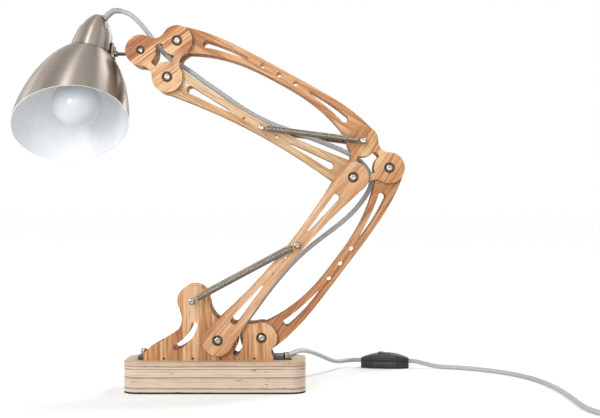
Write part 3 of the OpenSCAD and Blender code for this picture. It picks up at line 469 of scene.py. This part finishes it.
def woodMaterial(name, facts):
    made, add, shader = newMaterial(name, Roughness=0.5, Coat_Weight=0.06, Coat_Roughness=0.35)
    shader.inputs["Specular IOR Level"].default_value = 0.35
    contrast = facts["contrast"]
    spot = add("TexCoord")
    place = spot.outputs["Object"]
    aligned = add("Mapping", {"Vector": place, "Rotation": (0, math.radians(facts["grain"]), 0)})
    parts = add("SeparateXYZ", {"Vector": aligned})
    # which strip a point lies in, and a tone for each strip
    stripRun = add("Math", {0: parts.outputs["Z"], 1: 1000 / facts["strip"]}, operation="MULTIPLY")
    strip = add("Math", {0: stripRun}, operation="FLOOR")
    stripTone = add("TexWhiteNoise", {"W": strip}, noise_dimensions="1D")
    shifted = add("CombineXYZ", {"X": strip, "Y": strip})
    # fibres run along the board
    fibreSpot = add("Mapping", {"Vector": aligned, "Scale": (26, 300, 820), "Location": (3.1, 1.7, 0.4)})
    fibreMoved = add("VectorMath", {0: fibreSpot, 1: shifted}, operation="ADD")
    fibres = add("TexNoise", {"Vector": fibreMoved, "Scale": 1.0, "Detail": 4.0,
                              "Roughness": 0.6, "Distortion": 0.15})
    # broad growth bands that wander a little
    bands = stretchedPattern(add, aligned, (9, 20, 150), Detail=2.0, Distortion=0.8)
    # fine dark streaks a few centimetres long
    streaks = stretchedPattern(add, aligned, (16, 60, 420), (7.3, 0, 2.9), Detail=3.0, Distortion=0.3)
    streakMask = add("MapRange",
                     {"Value": streaks, "From Min": 0.56, "From Max": 0.7, "To Max": 0.5 * contrast})
    level = add("Math", {0: fibres, 1: 0.75}, operation="MULTIPLY")
    for pattern, share in ((bands, 0.5), (streaks, -0.7 * contrast), (stripTone, 0.3 * contrast)):
        level = add("Math", {0: pattern, 1: share, 2: level}, operation="MULTIPLY_ADD")
    level = add("Math", {0: level, 1: 0.12 - 0.2 * contrast}, operation="SUBTRACT")
    plan = add("VectorMath", {0: place, 1: (1, 0, 1)}, operation="MULTIPLY")
    for (x, z), reach, amount in facts["patches"]:
        away = add("VectorMath", {0: plan, 1: (x * mm, 0, z * mm)}, operation="DISTANCE")
        near = add("MapRange", {"Value": away.outputs["Value"], "From Min": 0.4 * reach * mm,
                                "From Max": 1.3 * reach * mm, "To Min": amount, "To Max": 0.0},
                   interpolation_type="SMOOTHSTEP")
        level = add("Math", {0: level, 1: near}, operation="ADD")
    tones = facts["tones"]
    face = add("ValToRGB", {"Fac": level}, stops=[(0.28, tones[0]), (0.5, tones[1]), (0.72, tones[2])])
    # short dark pores
    pores = stretchedPattern(add, aligned, (75, 150, 1000), Detail=1.0)
    poreMask = add("MapRange", {"Value": pores, "From Min": 0.66, "From Max": 0.74, "To Max": 0.65})
    # scorched cut edges, and counterbore floors darkened the same: partly real scorch, partly painted shade
    facing = add("SeparateXYZ", {"Vector": spot.outputs["Normal"]})
    flat = add("Math", {0: facing.outputs["Y"]}, operation="ABSOLUTE")
    edge = add("Math", {0: flat, 1: 0.6}, operation="LESS_THAN")
    where = add("SeparateXYZ", {"Vector": place})
    depth = add("Math", {0: where.outputs["Y"]}, operation="ABSOLUTE")
    # the counterbores' floors: real scorch with painted shade of the recess on top
    sunk = add("Math", {0: depth, 1: facts["sunk"] * mm, 2: 0.0008}, operation="COMPARE")
    scorchAndShade = add("Math", {0: edge, 1: sunk}, operation="MAXIMUM")
    scorchAndShadeNoise = add("TexNoise", {"Vector": place, "Scale": 160.0, "Detail": 2.0})
    scorchAndShadeTone = add("ValToRGB", {"Fac": scorchAndShadeNoise}, stops=[(0.35, "#63422c"), (0.7, "#8f6040")])
    tone = face.outputs["Color"]
    for mask, over in ((streakMask, colour(tones[0])), (poreMask, colour("#8a522e")), (scorchAndShade, scorchAndShadeTone)):
        tone = add("Mix", {0: mask, 6: tone, 7: over}, data_type="RGBA").outputs[2]
    cover(shader, tone, fibres, 0.12)
    return made


# A CAD piece keeps its shape and gets one material
def dress(material, *names):
    for name in names:
        mesh = nodes[name].data
        mesh.materials.clear()
        mesh.materials.append(material)


for name, facts in woods.items():
    sides = [facts["stem"] + end for end in ("_front", "_rear")]
    dress(woodMaterial("bambooLaserCut_" + name, facts), *sides)
print("wood plates dressed")

# Poplar plywood, sawn and sanded: light long-grain plies between thinner, pinker end-grain ones,
# with thin glue lines and small open voids, whose darkness is painted shade. Plies are 1.5 to 3 mm,
# as drawn.
plywood = {"ply": 1.55, "light": "#d8c7b4", "mid": "#c0a68e", "pink": "#9b7b66", "glue": "#7c5d4b",
           "voidShade": "#5e4030", "topTones": ("#b69c82", "#c8b297", "#d6c5ad"), "easing": 0.7,
           "topAt": 36.0, "seamAt": 19.0, "inner": (97, 34)}


def plywoodMaterial():
    made, add, shader = newMaterial("poplarPlywoodSanded", Roughness=0.64)
    spot = add("TexCoord")
    place = spot.outputs["Object"]
    parts = add("SeparateXYZ", {"Vector": place})
    wobble = stretchedPattern(add, place, (16, 16, 60), Detail=3.0)
    lift = add("Math", {0: wobble, 1: 0.0019, 2: parts.outputs["Z"]}, operation="MULTIPLY_ADD")
    run = add("Math", {0: lift, 1: 1000 / plywood["ply"]}, operation="MULTIPLY")
    layer = add("Math", {0: run}, operation="FLOOR")
    within = add("Math", {0: run}, operation="FRACT")
    layerTone = add("TexWhiteNoise", {"W": layer}, noise_dimensions="1D")
    streaks = stretchedPattern(add, place, (26, 26, 900), Detail=5.0, Roughness=0.7)
    blotches = stretchedPattern(add, place, (60, 60, 160), Detail=3.0)
    tone = add("Math", {0: layerTone, 1: 0.55}, operation="MULTIPLY")
    for pattern, share in ((streaks, 0.62), (blotches, 0.3)):
        tone = add("Math", {0: pattern, 1: share, 2: tone}, operation="MULTIPLY_ADD")
    tone = add("Math", {0: tone, 1: 0.14}, operation="SUBTRACT")
    side = add("ValToRGB", {"Fac": tone},
               stops=[(0.28, plywood["pink"]), (0.48, plywood["mid"]), (0.74, plywood["light"])])
    glue = add("MapRange", {"Value": within, "From Max": 0.24, "To Min": 0.5, "To Max": 0.0})
    # open voids are not modelled as holes: their dark is painted shade
    voidShadePattern = stretchedPattern(add, place, (85, 85, 620), Detail=1.0)
    voidShadeMask = add("MapRange", {"Value": voidShadePattern, "From Min": 0.71, "From Max": 0.76})
    # the line where the two boards are glued
    seam = add("Math", {0: parts.outputs["Z"], 1: plywood["seamAt"] * mm, 2: 0.00035}, operation="COMPARE")
    seamShare = add("Math", {0: seam, 1: 0.55}, operation="MULTIPLY")
    grain = stretchedPattern(add, place, (12, 260, 60), Detail=4.0, Distortion=0.6)
    top = add("ValToRGB", {"Fac": grain}, stops=list(zip((0.3, 0.5, 0.7), plywood["topTones"])))
    facing = add("SeparateXYZ", {"Vector": spot.outputs["Normal"]})
    upright = add("Math", {0: facing.outputs["Z"]}, operation="ABSOLUTE")
    isTop = add("Math", {0: upright, 1: 0.8}, operation="GREATER_THAN")
    glueTone, voidShadeTone = colour(plywood["glue"]), colour(plywood["voidShade"])
    done = side.outputs["Color"]
    for mask, over in ((glue, glueTone), (voidShadeMask, voidShadeTone), (seamShare, glueTone), (isTop, top)):
        done = add("Mix", {0: mask, 6: done, 7: over}, data_type="RGBA").outputs[2]
    cover(shader, done, streaks, 0.25)
    return made


# The boards' outer edges, beyond "inner" in mm, are eased: the upper board's on top, the lower one's
# underneath
poplar = plywoodMaterial()
lowerUnderside = min(v.co.z for v in nodes["base_lower_board"].data.vertices)
for name, node, edgeAt in (("upperBoard", "base_upper_board", plywood["topAt"] * mm),
                           ("lowerBoard", "base_lower_board", lowerUnderside)):
    eased(name, node, "base", poplar, plywood["easing"], 40,
          lambda e: all(abs(v.co.z - edgeAt) < 1e-4 and (abs(v.co.x) > plywood["inner"][0] * mm
                                                         or abs(v.co.y) > plywood["inner"][1] * mm)
                        for v in e.verts))
print("base dressed")

# Bent, welded and coated steel, its edges eased as a coating leaves them
steelParts = {
    "footBar": ("base_bar", "base", blackSteel, 0.4),
    "knuckleBody": ("knuckle", "knuckle", blackSteel, 0.8),
    "clipStrip": ("shade_clip", "shade", rubbedOxide, 0.3),
}
for name, (node, body, material, width) in steelParts.items():
    eased(name, node, body, material, width)

# Moulded parts: the switch's two halves and rocker, and the flat plug with its two steel pins
mouldings = {
    "switchBottom": ("switch_base", "base", 0.7),
    "switchTop": ("switch_cover", "base", 0.9),
    "switchKey": ("switch_rocker", "rocker", 0.5),
    "plugBody": ("plug", "base", 0.9),
}
pinsFrom = -111.9        # along Y in mm, where the plug's pins begin
for name, (node, body, width) in mouldings.items():
    piece = eased(name, node, body, blackPlastic, width)
    if name == "plugBody":
        piece.data.materials.append(platedSteel)
        for face in piece.data.polygons:
            face.material_index = int(face.center.y > pinsFrom * mm)
print("bar, knuckle, clip, switch and plug eased")


# A place on the lamp's front (side -1) or rear (side 1) whose own Z points outward; mm
def facing(x, y, z, side):
    return Matrix.Translation((x * mm, y * mm, z * mm)) @ turnBy(-90 * side, "X")


# Button-head bolts through the plates, hexagon sockets in front, and hexagon nuts behind
bolts = {
    "shank": 2.5, "tail": 2.4, "rise": 3.0, "socket": 1.7, "head": 4.75, "nut": 4.45, "nutHeight": 3,
    # name: body, replaced node, then for each bolt x, z, seat and head radius
    "sets": {
        "basePivotBolts": ("base", "base_pivot_bolts",
                           [(3.5, 59.2, 27.1, 4.75), (52.845, 61.527, 20.6, 4.75)]),
        "elbowBolts": ("elbow", "elbow_bolts",
                       [(156.804, 243.856, 27.1, 4.75), (198.203, 254.717, 20.6, 4.75)]),
        "headBolts": ("head", "head_bolts",
                      [(-54.312, 358.006, 20.6, 4.75), (-43.018, 399.289, 20.6, 4.75),
                       (-84.417, 388.428, 20.6, 3.8)]),
    },
}
for name, (body, node, places) in bolts["sets"].items():
    bm = bmesh.new()
    for x, z, seat, head in places:
        rise, socket, shank = bolts["rise"], bolts["socket"], bolts["shank"]
        end = -2 * seat - bolts["tail"]
        dome = [(head * wide, rise * high) for wide, high in
                ((1, 0), (1, 0.12), (0.985, 0.3), (0.93, 0.5), (0.84, 0.69), (0.71, 0.86), (0.56, 0.96))]
        rows = [(0, end), (shank - 0.3, end), (shank, end + 0.4), (shank, 0), *dome,
                (socket + 0.25, rise), (socket, rise - 0.12), (socket, 0.45 * rise), (0, 0.38 * rise)]
        turned(bm, rows, facing(x, -seat, z, -1), 48, (0.05, socket + 0.05))
        nut, bore, high = bolts["nut"] * head / bolts["head"], shank + 0.05, bolts["nutHeight"]
        flat = nut * 0.855
        turned(bm, [(bore, 0), (flat, 0), (nut, 0.35), (nut, high - 0.35), (flat, high), (bore, high),
                    (bore, 0)], facing(x, seat, z, 1), 48, (nut - 0.05, nut + 0.05))
    finishPiece(bm, name, body, [platedSteel], 28, (node,))

# Spring posts and pins: a rod, a spacer sleeve up to the spring's hook, and a domed socket head
posts = {
    "socket": 1.6, "headTop": 4.5, "plate": 6, "nutHeight": 2.4,
    # name: body, replaced node, x, z, the hook's reach, the rod's radius inside, the sleeve's start and
    # whether it goes through
    "sets": {
        "lowerSpringPosts": ("base", "lower_spring_posts", -25.2, 104.1, 34.5, 1.5, 23, True),
        "upperSpringPost": ("elbow", "upper_spring_post", 168.098, 285.139, 28.5, 2.5, 23, True),
        "lowerSpringPins": ("lower_arm_link", "lower_spring_pins", 93.247, 167.301, 34.5, 1.5, 29.5, False),
        "upperSpringPins": ("upper_arm_link", "upper_spring_pins", 53.005, 299.980, 28.5, 1.5, 16.5, False),
    },
}
for name, (body, node, x, z, reach, rod, start, through) in posts["sets"].items():
    bm = bmesh.new()
    top, socket = reach + posts["headTop"], posts["socket"]
    outer = [(2.5, start), (2.5, reach - 0.8), (1.5, reach - 0.8), (1.5, reach + 0.8), (3.6, reach + 0.8),
             (3.8, reach + 1.0), (3.8, top - 2.6), (3.72, top - 1.6), (3.45, top - 0.8), (2.95, top - 0.2),
             (2.3, top), (socket + 0.2, top), (socket, top - 0.15), (socket, top - 1.8), (0, top - 1.9)]
    if through:
        half = [(rod, start)] + outer
        turned(bm, [(r, -a) for r, a in reversed(half)] + half, facing(x, 0, z, -1), 36,
               (0.05, socket + 0.02))
    else:
        inner = start - posts["plate"]
        end = inner - posts["nutHeight"]
        nut = [(1.6, end), (2.75, end), (3.2, end + 0.3), (3.2, inner), (1.6, inner), (1.6, end)]
        for side in (-1, 1):
            place = facing(x, 0, z, side)
            turned(bm, [(0, end), (1.3, end), (1.5, end + 0.2), (1.5, start)] + outer, place, 36,
                   (1.52, socket + 0.02))
            turned(bm, nut, place, 36, (3.15, 3.25))
    finishPiece(bm, name, body, [platedSteel], 28, (node,))

# Socket-head bolts that hold the bar's two ends on the board: x, y, height of the seat above the board
barBolts = [(-83, 0, 4.6), (81.345, -11.5, 1.6)]
bm = bmesh.new()
for x, y, rest in barBolts:
    head = [(3.65, 0), (3.8, 0.2), (3.8, 4.9), (3.7, 5.7), (3.35, 6.3), (2.8, 6.6), (2.0, 6.6),
            (1.8, 6.45), (1.8, 4), (0, 3.9)]
    rows = [(0, -11.5), (1.4, -11.5), (2, -10.5), (2, rest)] + [(r, rest + a) for r, a in head]
    turned(bm, rows, Matrix.Translation((x * mm, y * mm, plywood["topAt"] * mm)), 36, (1.6, 1.85))
finishPiece(bm, "barBolts", "base", [platedSteel], 28, ("base_bar_bolts",))

# The stud's thread is one V ridge wound round a core, with a jam nut near the knuckle. Real turns
# are 0.8 mm apart; they are drawn 1.25 mm apart so that they show.
stud = {"x": -84.417, "z": 386.828, "from": -31.5, "to": -6.5, "core": 1.9, "crest": 2.3, "turn": 1.25}
studPlace = Matrix.Translation((stud["x"] * mm, 0, stud["z"] * mm)) @ turnBy(90, "Y")
bm = bmesh.new()
turned(bm, [(0, stud["from"]), (1.6, stud["from"]), (stud["core"], stud["from"] + 0.4),
            (stud["core"], stud["to"]), (0, stud["to"])], studPlace, 24)
turned(bm, [(2.35, -16), (3.42, -16), (4, -15.65), (4, -12.95), (3.42, -12.6), (2.35, -12.6),
            (2.35, -16)], studPlace, 36, (3.9, 4.05))
ridge = bmesh.new()
low, high = stud["from"] + 0.5, stud["to"] - stud["turn"]
turns = round((high - low) / stud["turn"])
steps = turns * 18
corner = [ridge.verts.new((r * mm, 0, (low + a) * mm))
          for r, a in ((stud["core"] - 0.05, 0), (stud["crest"], 0.5), (stud["core"] - 0.05, 1.0))]
rim = [ridge.edges.new((corner[i], corner[(i + 1) % 3])) for i in range(3)]
bmesh.ops.spin(ridge, geom=corner + rim, cent=(0, 0, 0), axis=(0, 0, 1), angle=2 * math.pi * turns,
               steps=steps, dvec=(0, 0, (high - low) * mm / steps))
bmesh.ops.holes_fill(ridge, edges=ridge.edges, sides=3)
bmesh.ops.recalc_face_normals(ridge, faces=ridge.faces)
bmesh.ops.transform(ridge, matrix=studPlace, verts=ridge.verts)
join(bm, ridge)
finishPiece(bm, "threadedStud", "knuckle", [rubbedOxide], 28, ("knuckle_stud",))
print("bolts, posts and stud made")

dress(platedSteel, "base_bushes", "base_washers", "elbow_bushes", "elbow_washers", "head_bushes",
      "head_washers", "bulb_base")
dress(springSteel, "lower_spring_hooks", "upper_spring_hooks")
dress(blackOxide, "base_bar_screws")
dress(padRubber, "base_pad")
dress(holderPlastic, "lamp_holder")

# Spun bell shade with a slanted mouth; bulb side and cap turn round the same axis
shade = {
    "place": Vector((-143.4, 0, 396.0)) * mm,
    "lean": 17.6, "aim": 45,         # degrees off upright, and where it leans to from X
    "fullRadius": 66.2, "depth": 103, "neck": 21, "skirt": 38, "wall": 1.2, "factor": 1.0214,
    "swell": 1.7, "rings": 44, "ringSpacing": 1.35,      # closer together at the neck
    "mouthDrop": 94.2, "mouthSlant": 27.4, "mouthAim": 126.5,
    "nickel": ("#857c73", "#91887f", "#9f968d"), "enamel": ("#eff2f5", "#f5f8fb"),
}
aimTurn = turnBy(shade["aim"], "Z")
shadePlace = (Matrix.Translation(shade["place"]) @ aimTurn @ turnBy(shade["lean"], "Y")
              @ aimTurn.inverted())


# Brushed nickel: brushed round the axis, so lights stretch along it. Tangent runs along the axis.
def brushedMaterial():
    made, add, shader = newMaterial("nickelBrushed", Metallic=1.0, Roughness=0.42, Anisotropic=0.88)
    uv = add("UVMap", uv_map="wrap")
    along = add("Tangent", direction_type="UV_MAP", uv_map="wrap")
    lines = stretchedPattern(add, uv, (900, 5, 1), Detail=3.0, Roughness=0.7)
    ramp = add("ValToRGB", {"Fac": lines}, stops=list(zip((0.3, 0.5, 0.7), shade["nickel"])))
    made.node_tree.links.new(along.outputs["Tangent"], shader.inputs["Tangent"])
    cover(shader, ramp.outputs["Color"], lines, 0.04, 0.2)
    return made


nickel = brushedMaterial()
# stove enamel inside the bell: smooth, cool white
enamel = evenMaterial("enamelStoved", shade["enamel"], (0.28, 0.36), 6.0, 0.03)


# The bell's outer radius at a drop below its neck; it runs straight down past its widest place
def bellRadius(drop):
    share = max(shade["depth"] - drop, 0) / (shade["depth"] * shade["factor"])
    return max(shade["neck"], shade["fullRadius"] * math.sqrt(1 - share ** shade["swell"]))


# Spins a profile (radius, height in mm) round Z, with UV: along the profile, and around it
def spun(profile, steps):
    bm = revolved(profile, steps)
    bmesh.ops.recalc_face_normals(bm, faces=bm.faces)
    uv = bm.loops.layers.uv.new("wrap")
    for face in bm.faces:
        middle = face.calc_center_median()
        base = math.atan2(middle.y, middle.x)
        for loop in face.loops:
            co = loop.vert.co
            around = math.atan2(co.y, co.x) if co.xy.length > 1e-6 else base
            loop[uv].uv = (co.z * 8, nearAngle(around, base) / (2 * math.pi))
    return bm


rings = shade["rings"]
drops = [shade["depth"] * (i / rings) ** shade["ringSpacing"] for i in range(rings + 1)]
bellRows = [(bellRadius(drop), -drop) for drop in drops]
bellRows.append((shade["fullRadius"], -shade["depth"] - shade["skirt"]))
bm = spun(bellRows, 160)
if sum(f.normal.dot(f.calc_center_median() * Vector((1, 1, 0))) for f in bm.faces) < 0:
    bmesh.ops.reverse_faces(bm, faces=bm.faces)
mouthNormal = turnBy(shade["mouthAim"], "Z") @ turnBy(shade["mouthSlant"], "Y") @ Vector((0, 0, 1))
bmesh.ops.bisect_plane(bm, geom=bm.verts[:] + bm.edges[:] + bm.faces[:], dist=0.5 * mm,
                       use_snap_center=True, plane_co=(0, 0, -shade["mouthDrop"] * mm),
                       plane_no=mouthNormal, clear_inner=True)
bmesh.ops.transform(bm, matrix=shadePlace, verts=bm.verts)
bell = finishPiece(bm, "shadeBell", "shade", [nickel, enamel], 50, ("shade",))
wall = bell.modifiers.new("wall", "SOLIDIFY")
wall.thickness = shade["wall"] * mm
wall.offset = -1
wall.use_even_offset = True
wall.material_offset = 1
wall.material_offset_rim = 1
print("bell made")

# The cap is spun in two tiers with a crease between them and a small flat top
cap = {
    "rows": [(22.5, -5.6), (23.3, -5.5), (23.6, -5.2), (23.5, -3.6), (22.9, 1.5), (22.3, 5.5), (21.4, 10),
             (20.4, 14.5), (19.5, 17.6), (19.3, 18.3), (18.6, 18.8), (18.3, 19.0), (17.2, 21.6),
             (15.5, 25.2), (13.4, 28.9), (10.9, 32.3), (8.4, 35.2), (7.2, 36.4), (6.2, 37.0), (0.0, 37.0)],
    # in mm from the shade's place, then degrees round its axis and off it
    "screw": ((24.85, 0, 3.2), 4, 81),
    "collar": ((7.2, -5.4, 33.6), -37, 42),
}
bm = spun(cap["rows"], 128)
bmesh.ops.transform(bm, matrix=shadePlace, verts=bm.verts)
finishPiece(bm, "shadeCap", "shade", [nickel, enamel], 24, ("shade_cap",))

# Screw that holds the clip to the cap, and the collar of the strain relief
at, turn, tilt = cap["screw"]
bm = bmesh.new()
turned(bm, [(0, 0.7), (2.45, 0.7), (2.5, 0.8), (2.5, 1.7), (2.3, 2.3), (1.85, 2.65), (1.45, 2.7),
            (1.2, 2.6), (1.2, 1.7), (0, 1.65)],
       shadePlace @ turnBy(turn, "Z") @ Matrix.Translation(Vector(at) * mm) @ turnBy(tilt, "Y"), 36,
       (1.15, 1.25))
finishPiece(bm, "clipScrew", "shade", [platedSteel], 28, ("clip_screw",))
at, turn, tilt = cap["collar"]
bm = bmesh.new()
turned(bm, [(0, -2), (2.4, -2), (2.4, 1.4), (4.5, 1.4), (4.55, 1.7), (4.45, 2.1), (4.1, 2.4), (3.3, 2.6),
            (0, 2.6)],
       shadePlace @ Matrix.Translation(Vector(at) * mm) @ turnBy(turn, "Z") @ turnBy(tilt, "Y"), 36)
finishPiece(bm, "reliefCollar", "shade", [sleevePlastic], 35, ("cord_gland",))
print("cap made")

bulb = {"radius": 27.5, "middle": -71, "neckRadius": 13.6, "rings": 40, "glass": ("#d2d6d9", "#dadee1")}


# Opal blown glass: an even milky white with a clear gloss
def opalMaterial():
    made, add, shader = newMaterial("glassOpalBlown", Roughness=0.16, Subsurface_Weight=0.35,
                                     Subsurface_Radius=(0.01, 0.01, 0.01), Subsurface_Scale=1.0)
    spot = add("TexCoord")
    cloud = add("TexNoise", {"Vector": spot.outputs["Object"], "Scale": 30.0, "Detail": 2.0})
    ramp = add("ValToRGB", {"Fac": cloud}, stops=list(zip((0.3, 0.7), bulb["glass"])))
    made.node_tree.links.new(ramp.outputs["Color"], shader.inputs["Base Color"])
    return made


opalGlass = opalMaterial()
# the round part runs on 6 degrees past the neck's radius
openAngle = math.degrees(math.asin(bulb["neckRadius"] / bulb["radius"])) - 6
globeRows = []
for i in range(bulb["rings"] + 1):
    angle = math.radians(i * (180 - openAngle) / bulb["rings"])
    globeRows.append((bulb["radius"] * math.sin(angle), bulb["middle"] - bulb["radius"] * math.cos(angle)))
globeRows += [(11.6, -44.2), (12.6, -40.5), (13.0, -37), (13.0, -34)]
bm = spun(globeRows, 96)
bmesh.ops.transform(bm, matrix=shadePlace, verts=bm.verts)
finishPiece(bm, "bulbGlobe", "shade", [opalGlass], 60, ("bulb_globe",))
print("bulb made")


# Extension springs, wound close; their near hooks are the CAD's own pieces
springs = {
    "wire": 1.2, "outer": 7.0, "turn": 1.2, "hookGap": 6.5, "hookRadius": 2.7,
    "hookTilt": 35, "hookSweep": 290, "tuck": 0.35,      # the neck starts that much inside the coil
    # name: stem of its bodies and node, the post and the pin that it joins
    "pairs": {
        "lowerSprings": ("lower_spring", "lowerSpringPosts", "lowerSpringPins"),
        "upperSprings": ("upper_spring", "upperSpringPost", "upperSpringPins"),
    },
}


# One spring along X from the near post: a coil from wound wire, then the far end's hook
def springShape(bm, span, place):
    wire, gap = springs["wire"] / 2 * mm, springs["hookGap"] * mm
    middle = (springs["outer"] - springs["wire"]) / 2 * mm
    length = span - 2 * gap
    turns = round(length / (springs["turn"] * mm))
    steps = turns * 12
    start = Matrix.Translation((gap, 0, middle)) @ turnBy(90, "X")
    made = bmesh.ops.create_circle(bm, segments=6, radius=wire, matrix=start)["verts"]
    edges = list({e for v in made for e in v.link_edges})
    bmesh.ops.spin(bm, geom=made + edges, cent=(0, 0, 0), axis=(1, 0, 0), angle=2 * math.pi * turns,
                   steps=steps, dvec=(length / steps, 0, 0))
    # far hook: an open ring round the pin and the bent end that joins it to the coil
    tilt, hook = math.radians(springs["hookTilt"]), springs["hookRadius"] * mm
    far = Matrix.Translation((span, 0, 0)) @ turnBy(180, "Y")
    start = far @ Matrix.Rotation(-tilt, 4, "Y") @ Matrix.Translation((hook, 0, 0))
    eye = bmesh.ops.create_circle(bm, segments=8, radius=wire, matrix=start)["verts"]
    eyeEdges = list({e for v in eye for e in v.link_edges})
    bmesh.ops.spin(bm, geom=eye + eyeEdges, cent=far.translation, axis=(0, 1, 0),
                   angle=math.radians(-springs["hookSweep"]), steps=28)
    reach = gap - springs["tuck"] * mm - hook * math.cos(tilt)
    rise = middle - hook * math.sin(tilt)
    neck = (far @ Matrix.Translation((hook * math.cos(tilt) + reach / 2, 0,
                                      hook * math.sin(tilt) + rise / 2))
            @ Matrix.Rotation(math.atan2(reach, rise), 4, "Y"))
    bmesh.ops.create_cone(bm, segments=8, radius1=wire, radius2=wire, depth=math.hypot(reach, rise),
                          cap_ends=True, matrix=neck)
    bmesh.ops.transform(bm, verts=bm.verts, matrix=place)


for name, (stem, *ends) in springs["pairs"].items():
    near, far = (Vector((x, 0, z)) * mm for x, z in (posts["sets"][end][2:4] for end in ends))
    reach = posts["sets"][ends[0]][4]
    run = far - near
    turn = Matrix.Rotation(-math.atan2(run.z, run.x), 4, "Y")
    whole = bmesh.new()
    for y in (-reach, reach):
        one = bmesh.new()
        springShape(one, run.length, Matrix.Translation(near + Vector((0, y * mm, 0))) @ turn)
        join(whole, one)
    bmesh.ops.holes_fill(whole, edges=whole.edges, sides=8)
    bmesh.ops.recalc_face_normals(whole, faces=whole.faces)
    piece = finishPiece(whole, name, None, [springSteel], 80, (stem + "s",))
    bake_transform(piece)
print("springs made")


# A pale floor and soft lamps in a white room
studio = {
    "floorHalf": 40, "floorTone": "#e9e9e8", "worldTone": "#ffffff", "worldStrength": 0.23,
    "lift": (0.28, 0.8), "liftReach": (0.45, 3.0),       # near and far, at metres from the middle
    # name: place, aim, width, height, watts
    "lamps": {
        "keyPanel": ((-0.62, -1.75, 1.85), (-0.1, 0, 0.3), 0.32, 0.32, 9),
        "frontStrip": ((-1.0, -2.1, 0.95), (-0.1, 0, 0.33), 0.35, 1.5, 27),
        "frontFill": ((0.1, -2.4, 0.75), (-0.1, 0, 0.3), 1.7, 1.0, 15),
        "leftStrip": ((-2.2, -0.4, 0.6), (-0.1, 0, 0.35), 0.5, 1.4, 10),
        "leftRim": ((-2.1, 0.8, 0.8), (-0.1, 0, 0.35), 0.6, 1.8, 10),
        "rightRim": ((1.5, 1.7, 0.8), (-0.1, 0, 0.35), 0.5, 1.6, 22),
        "rightHigh": ((1.25, 0.6, 1.85), (-0.1, 0, 0.35), 0.35, 0.9, 20),
    },
}


# 1 where a camera ray, a mirror-like surface or glass looks, else 0
def seenStraight(add):
    rays = add("LightPath")
    seen = rays.outputs["Is Camera Ray"]
    for kind in ("Is Glossy Ray", "Is Transmission Ray"):
        seen = add("Math", {0: seen, 1: rays.outputs[kind]}, operation="MAXIMUM")
    return seen


floorMesh = bpy.data.meshes.new("floor")
bm = bmesh.new()
bmesh.ops.create_grid(bm, x_segments=1, y_segments=1, size=studio["floorHalf"])
bm.to_mesh(floorMesh)
bm.free()
floorPiece = bpy.data.objects.new("floor", floorMesh)
show(floorPiece)

# Painted board, lifted to white for the camera, more so far off, while the lamp's shadow stays on it
floorMaterial = bpy.data.materials.new("boardPaintedPale")
floorMaterial.use_nodes = True
floorMaterial.node_tree.nodes.clear()
add = partial(addNode, floorMaterial.node_tree)
seen = seenStraight(add)
paint = add("BsdfDiffuse", {"Color": colour(studio["floorTone"])})
spot = add("TexCoord")
away = add("VectorMath", {0: spot.outputs["Object"]}, operation="LENGTH")
amount = add("MapRange", {"Value": away.outputs["Value"], "From Min": studio["liftReach"][0],
                          "From Max": studio["liftReach"][1], "To Min": studio["lift"][0],
                          "To Max": studio["lift"][1]})
lift = add("Emission", {"Strength": amount})
lifted = add("AddShader", {0: paint, 1: lift})
mixed = add("MixShader", {0: seen, 1: paint, 2: lifted})
add("OutputMaterial", {"Surface": mixed})
floorMesh.materials.append(floorMaterial)

world = bpy.data.worlds.new("studio")
scene.world = world
world.use_nodes = True
world.node_tree.nodes.clear()
add = partial(addNode, world.node_tree)
seen = seenStraight(add)
strength = add("MapRange", {"Value": seen, "To Min": studio["worldStrength"], "To Max": 1.0})
sky = add("Background", {"Color": colour(studio["worldTone"]), "Strength": strength})
add("OutputWorld", {"Surface": sky})

for name, (place, target, width, height, watts) in studio["lamps"].items():
    data = bpy.data.lights.new(name, "AREA")
    data.shape = "RECTANGLE"
    data.size, data.size_y = width, height
    data.energy = watts
    lamp = bpy.data.objects.new(name, data)
    lamp.location = place
    aim = Vector(target) - Vector(place)
    lamp.rotation_euler = aim.to_track_quat("-Z", "Y").to_euler()
    show(lamp)
scene.view_settings.view_transform = "Standard"
print("room and lamps set")
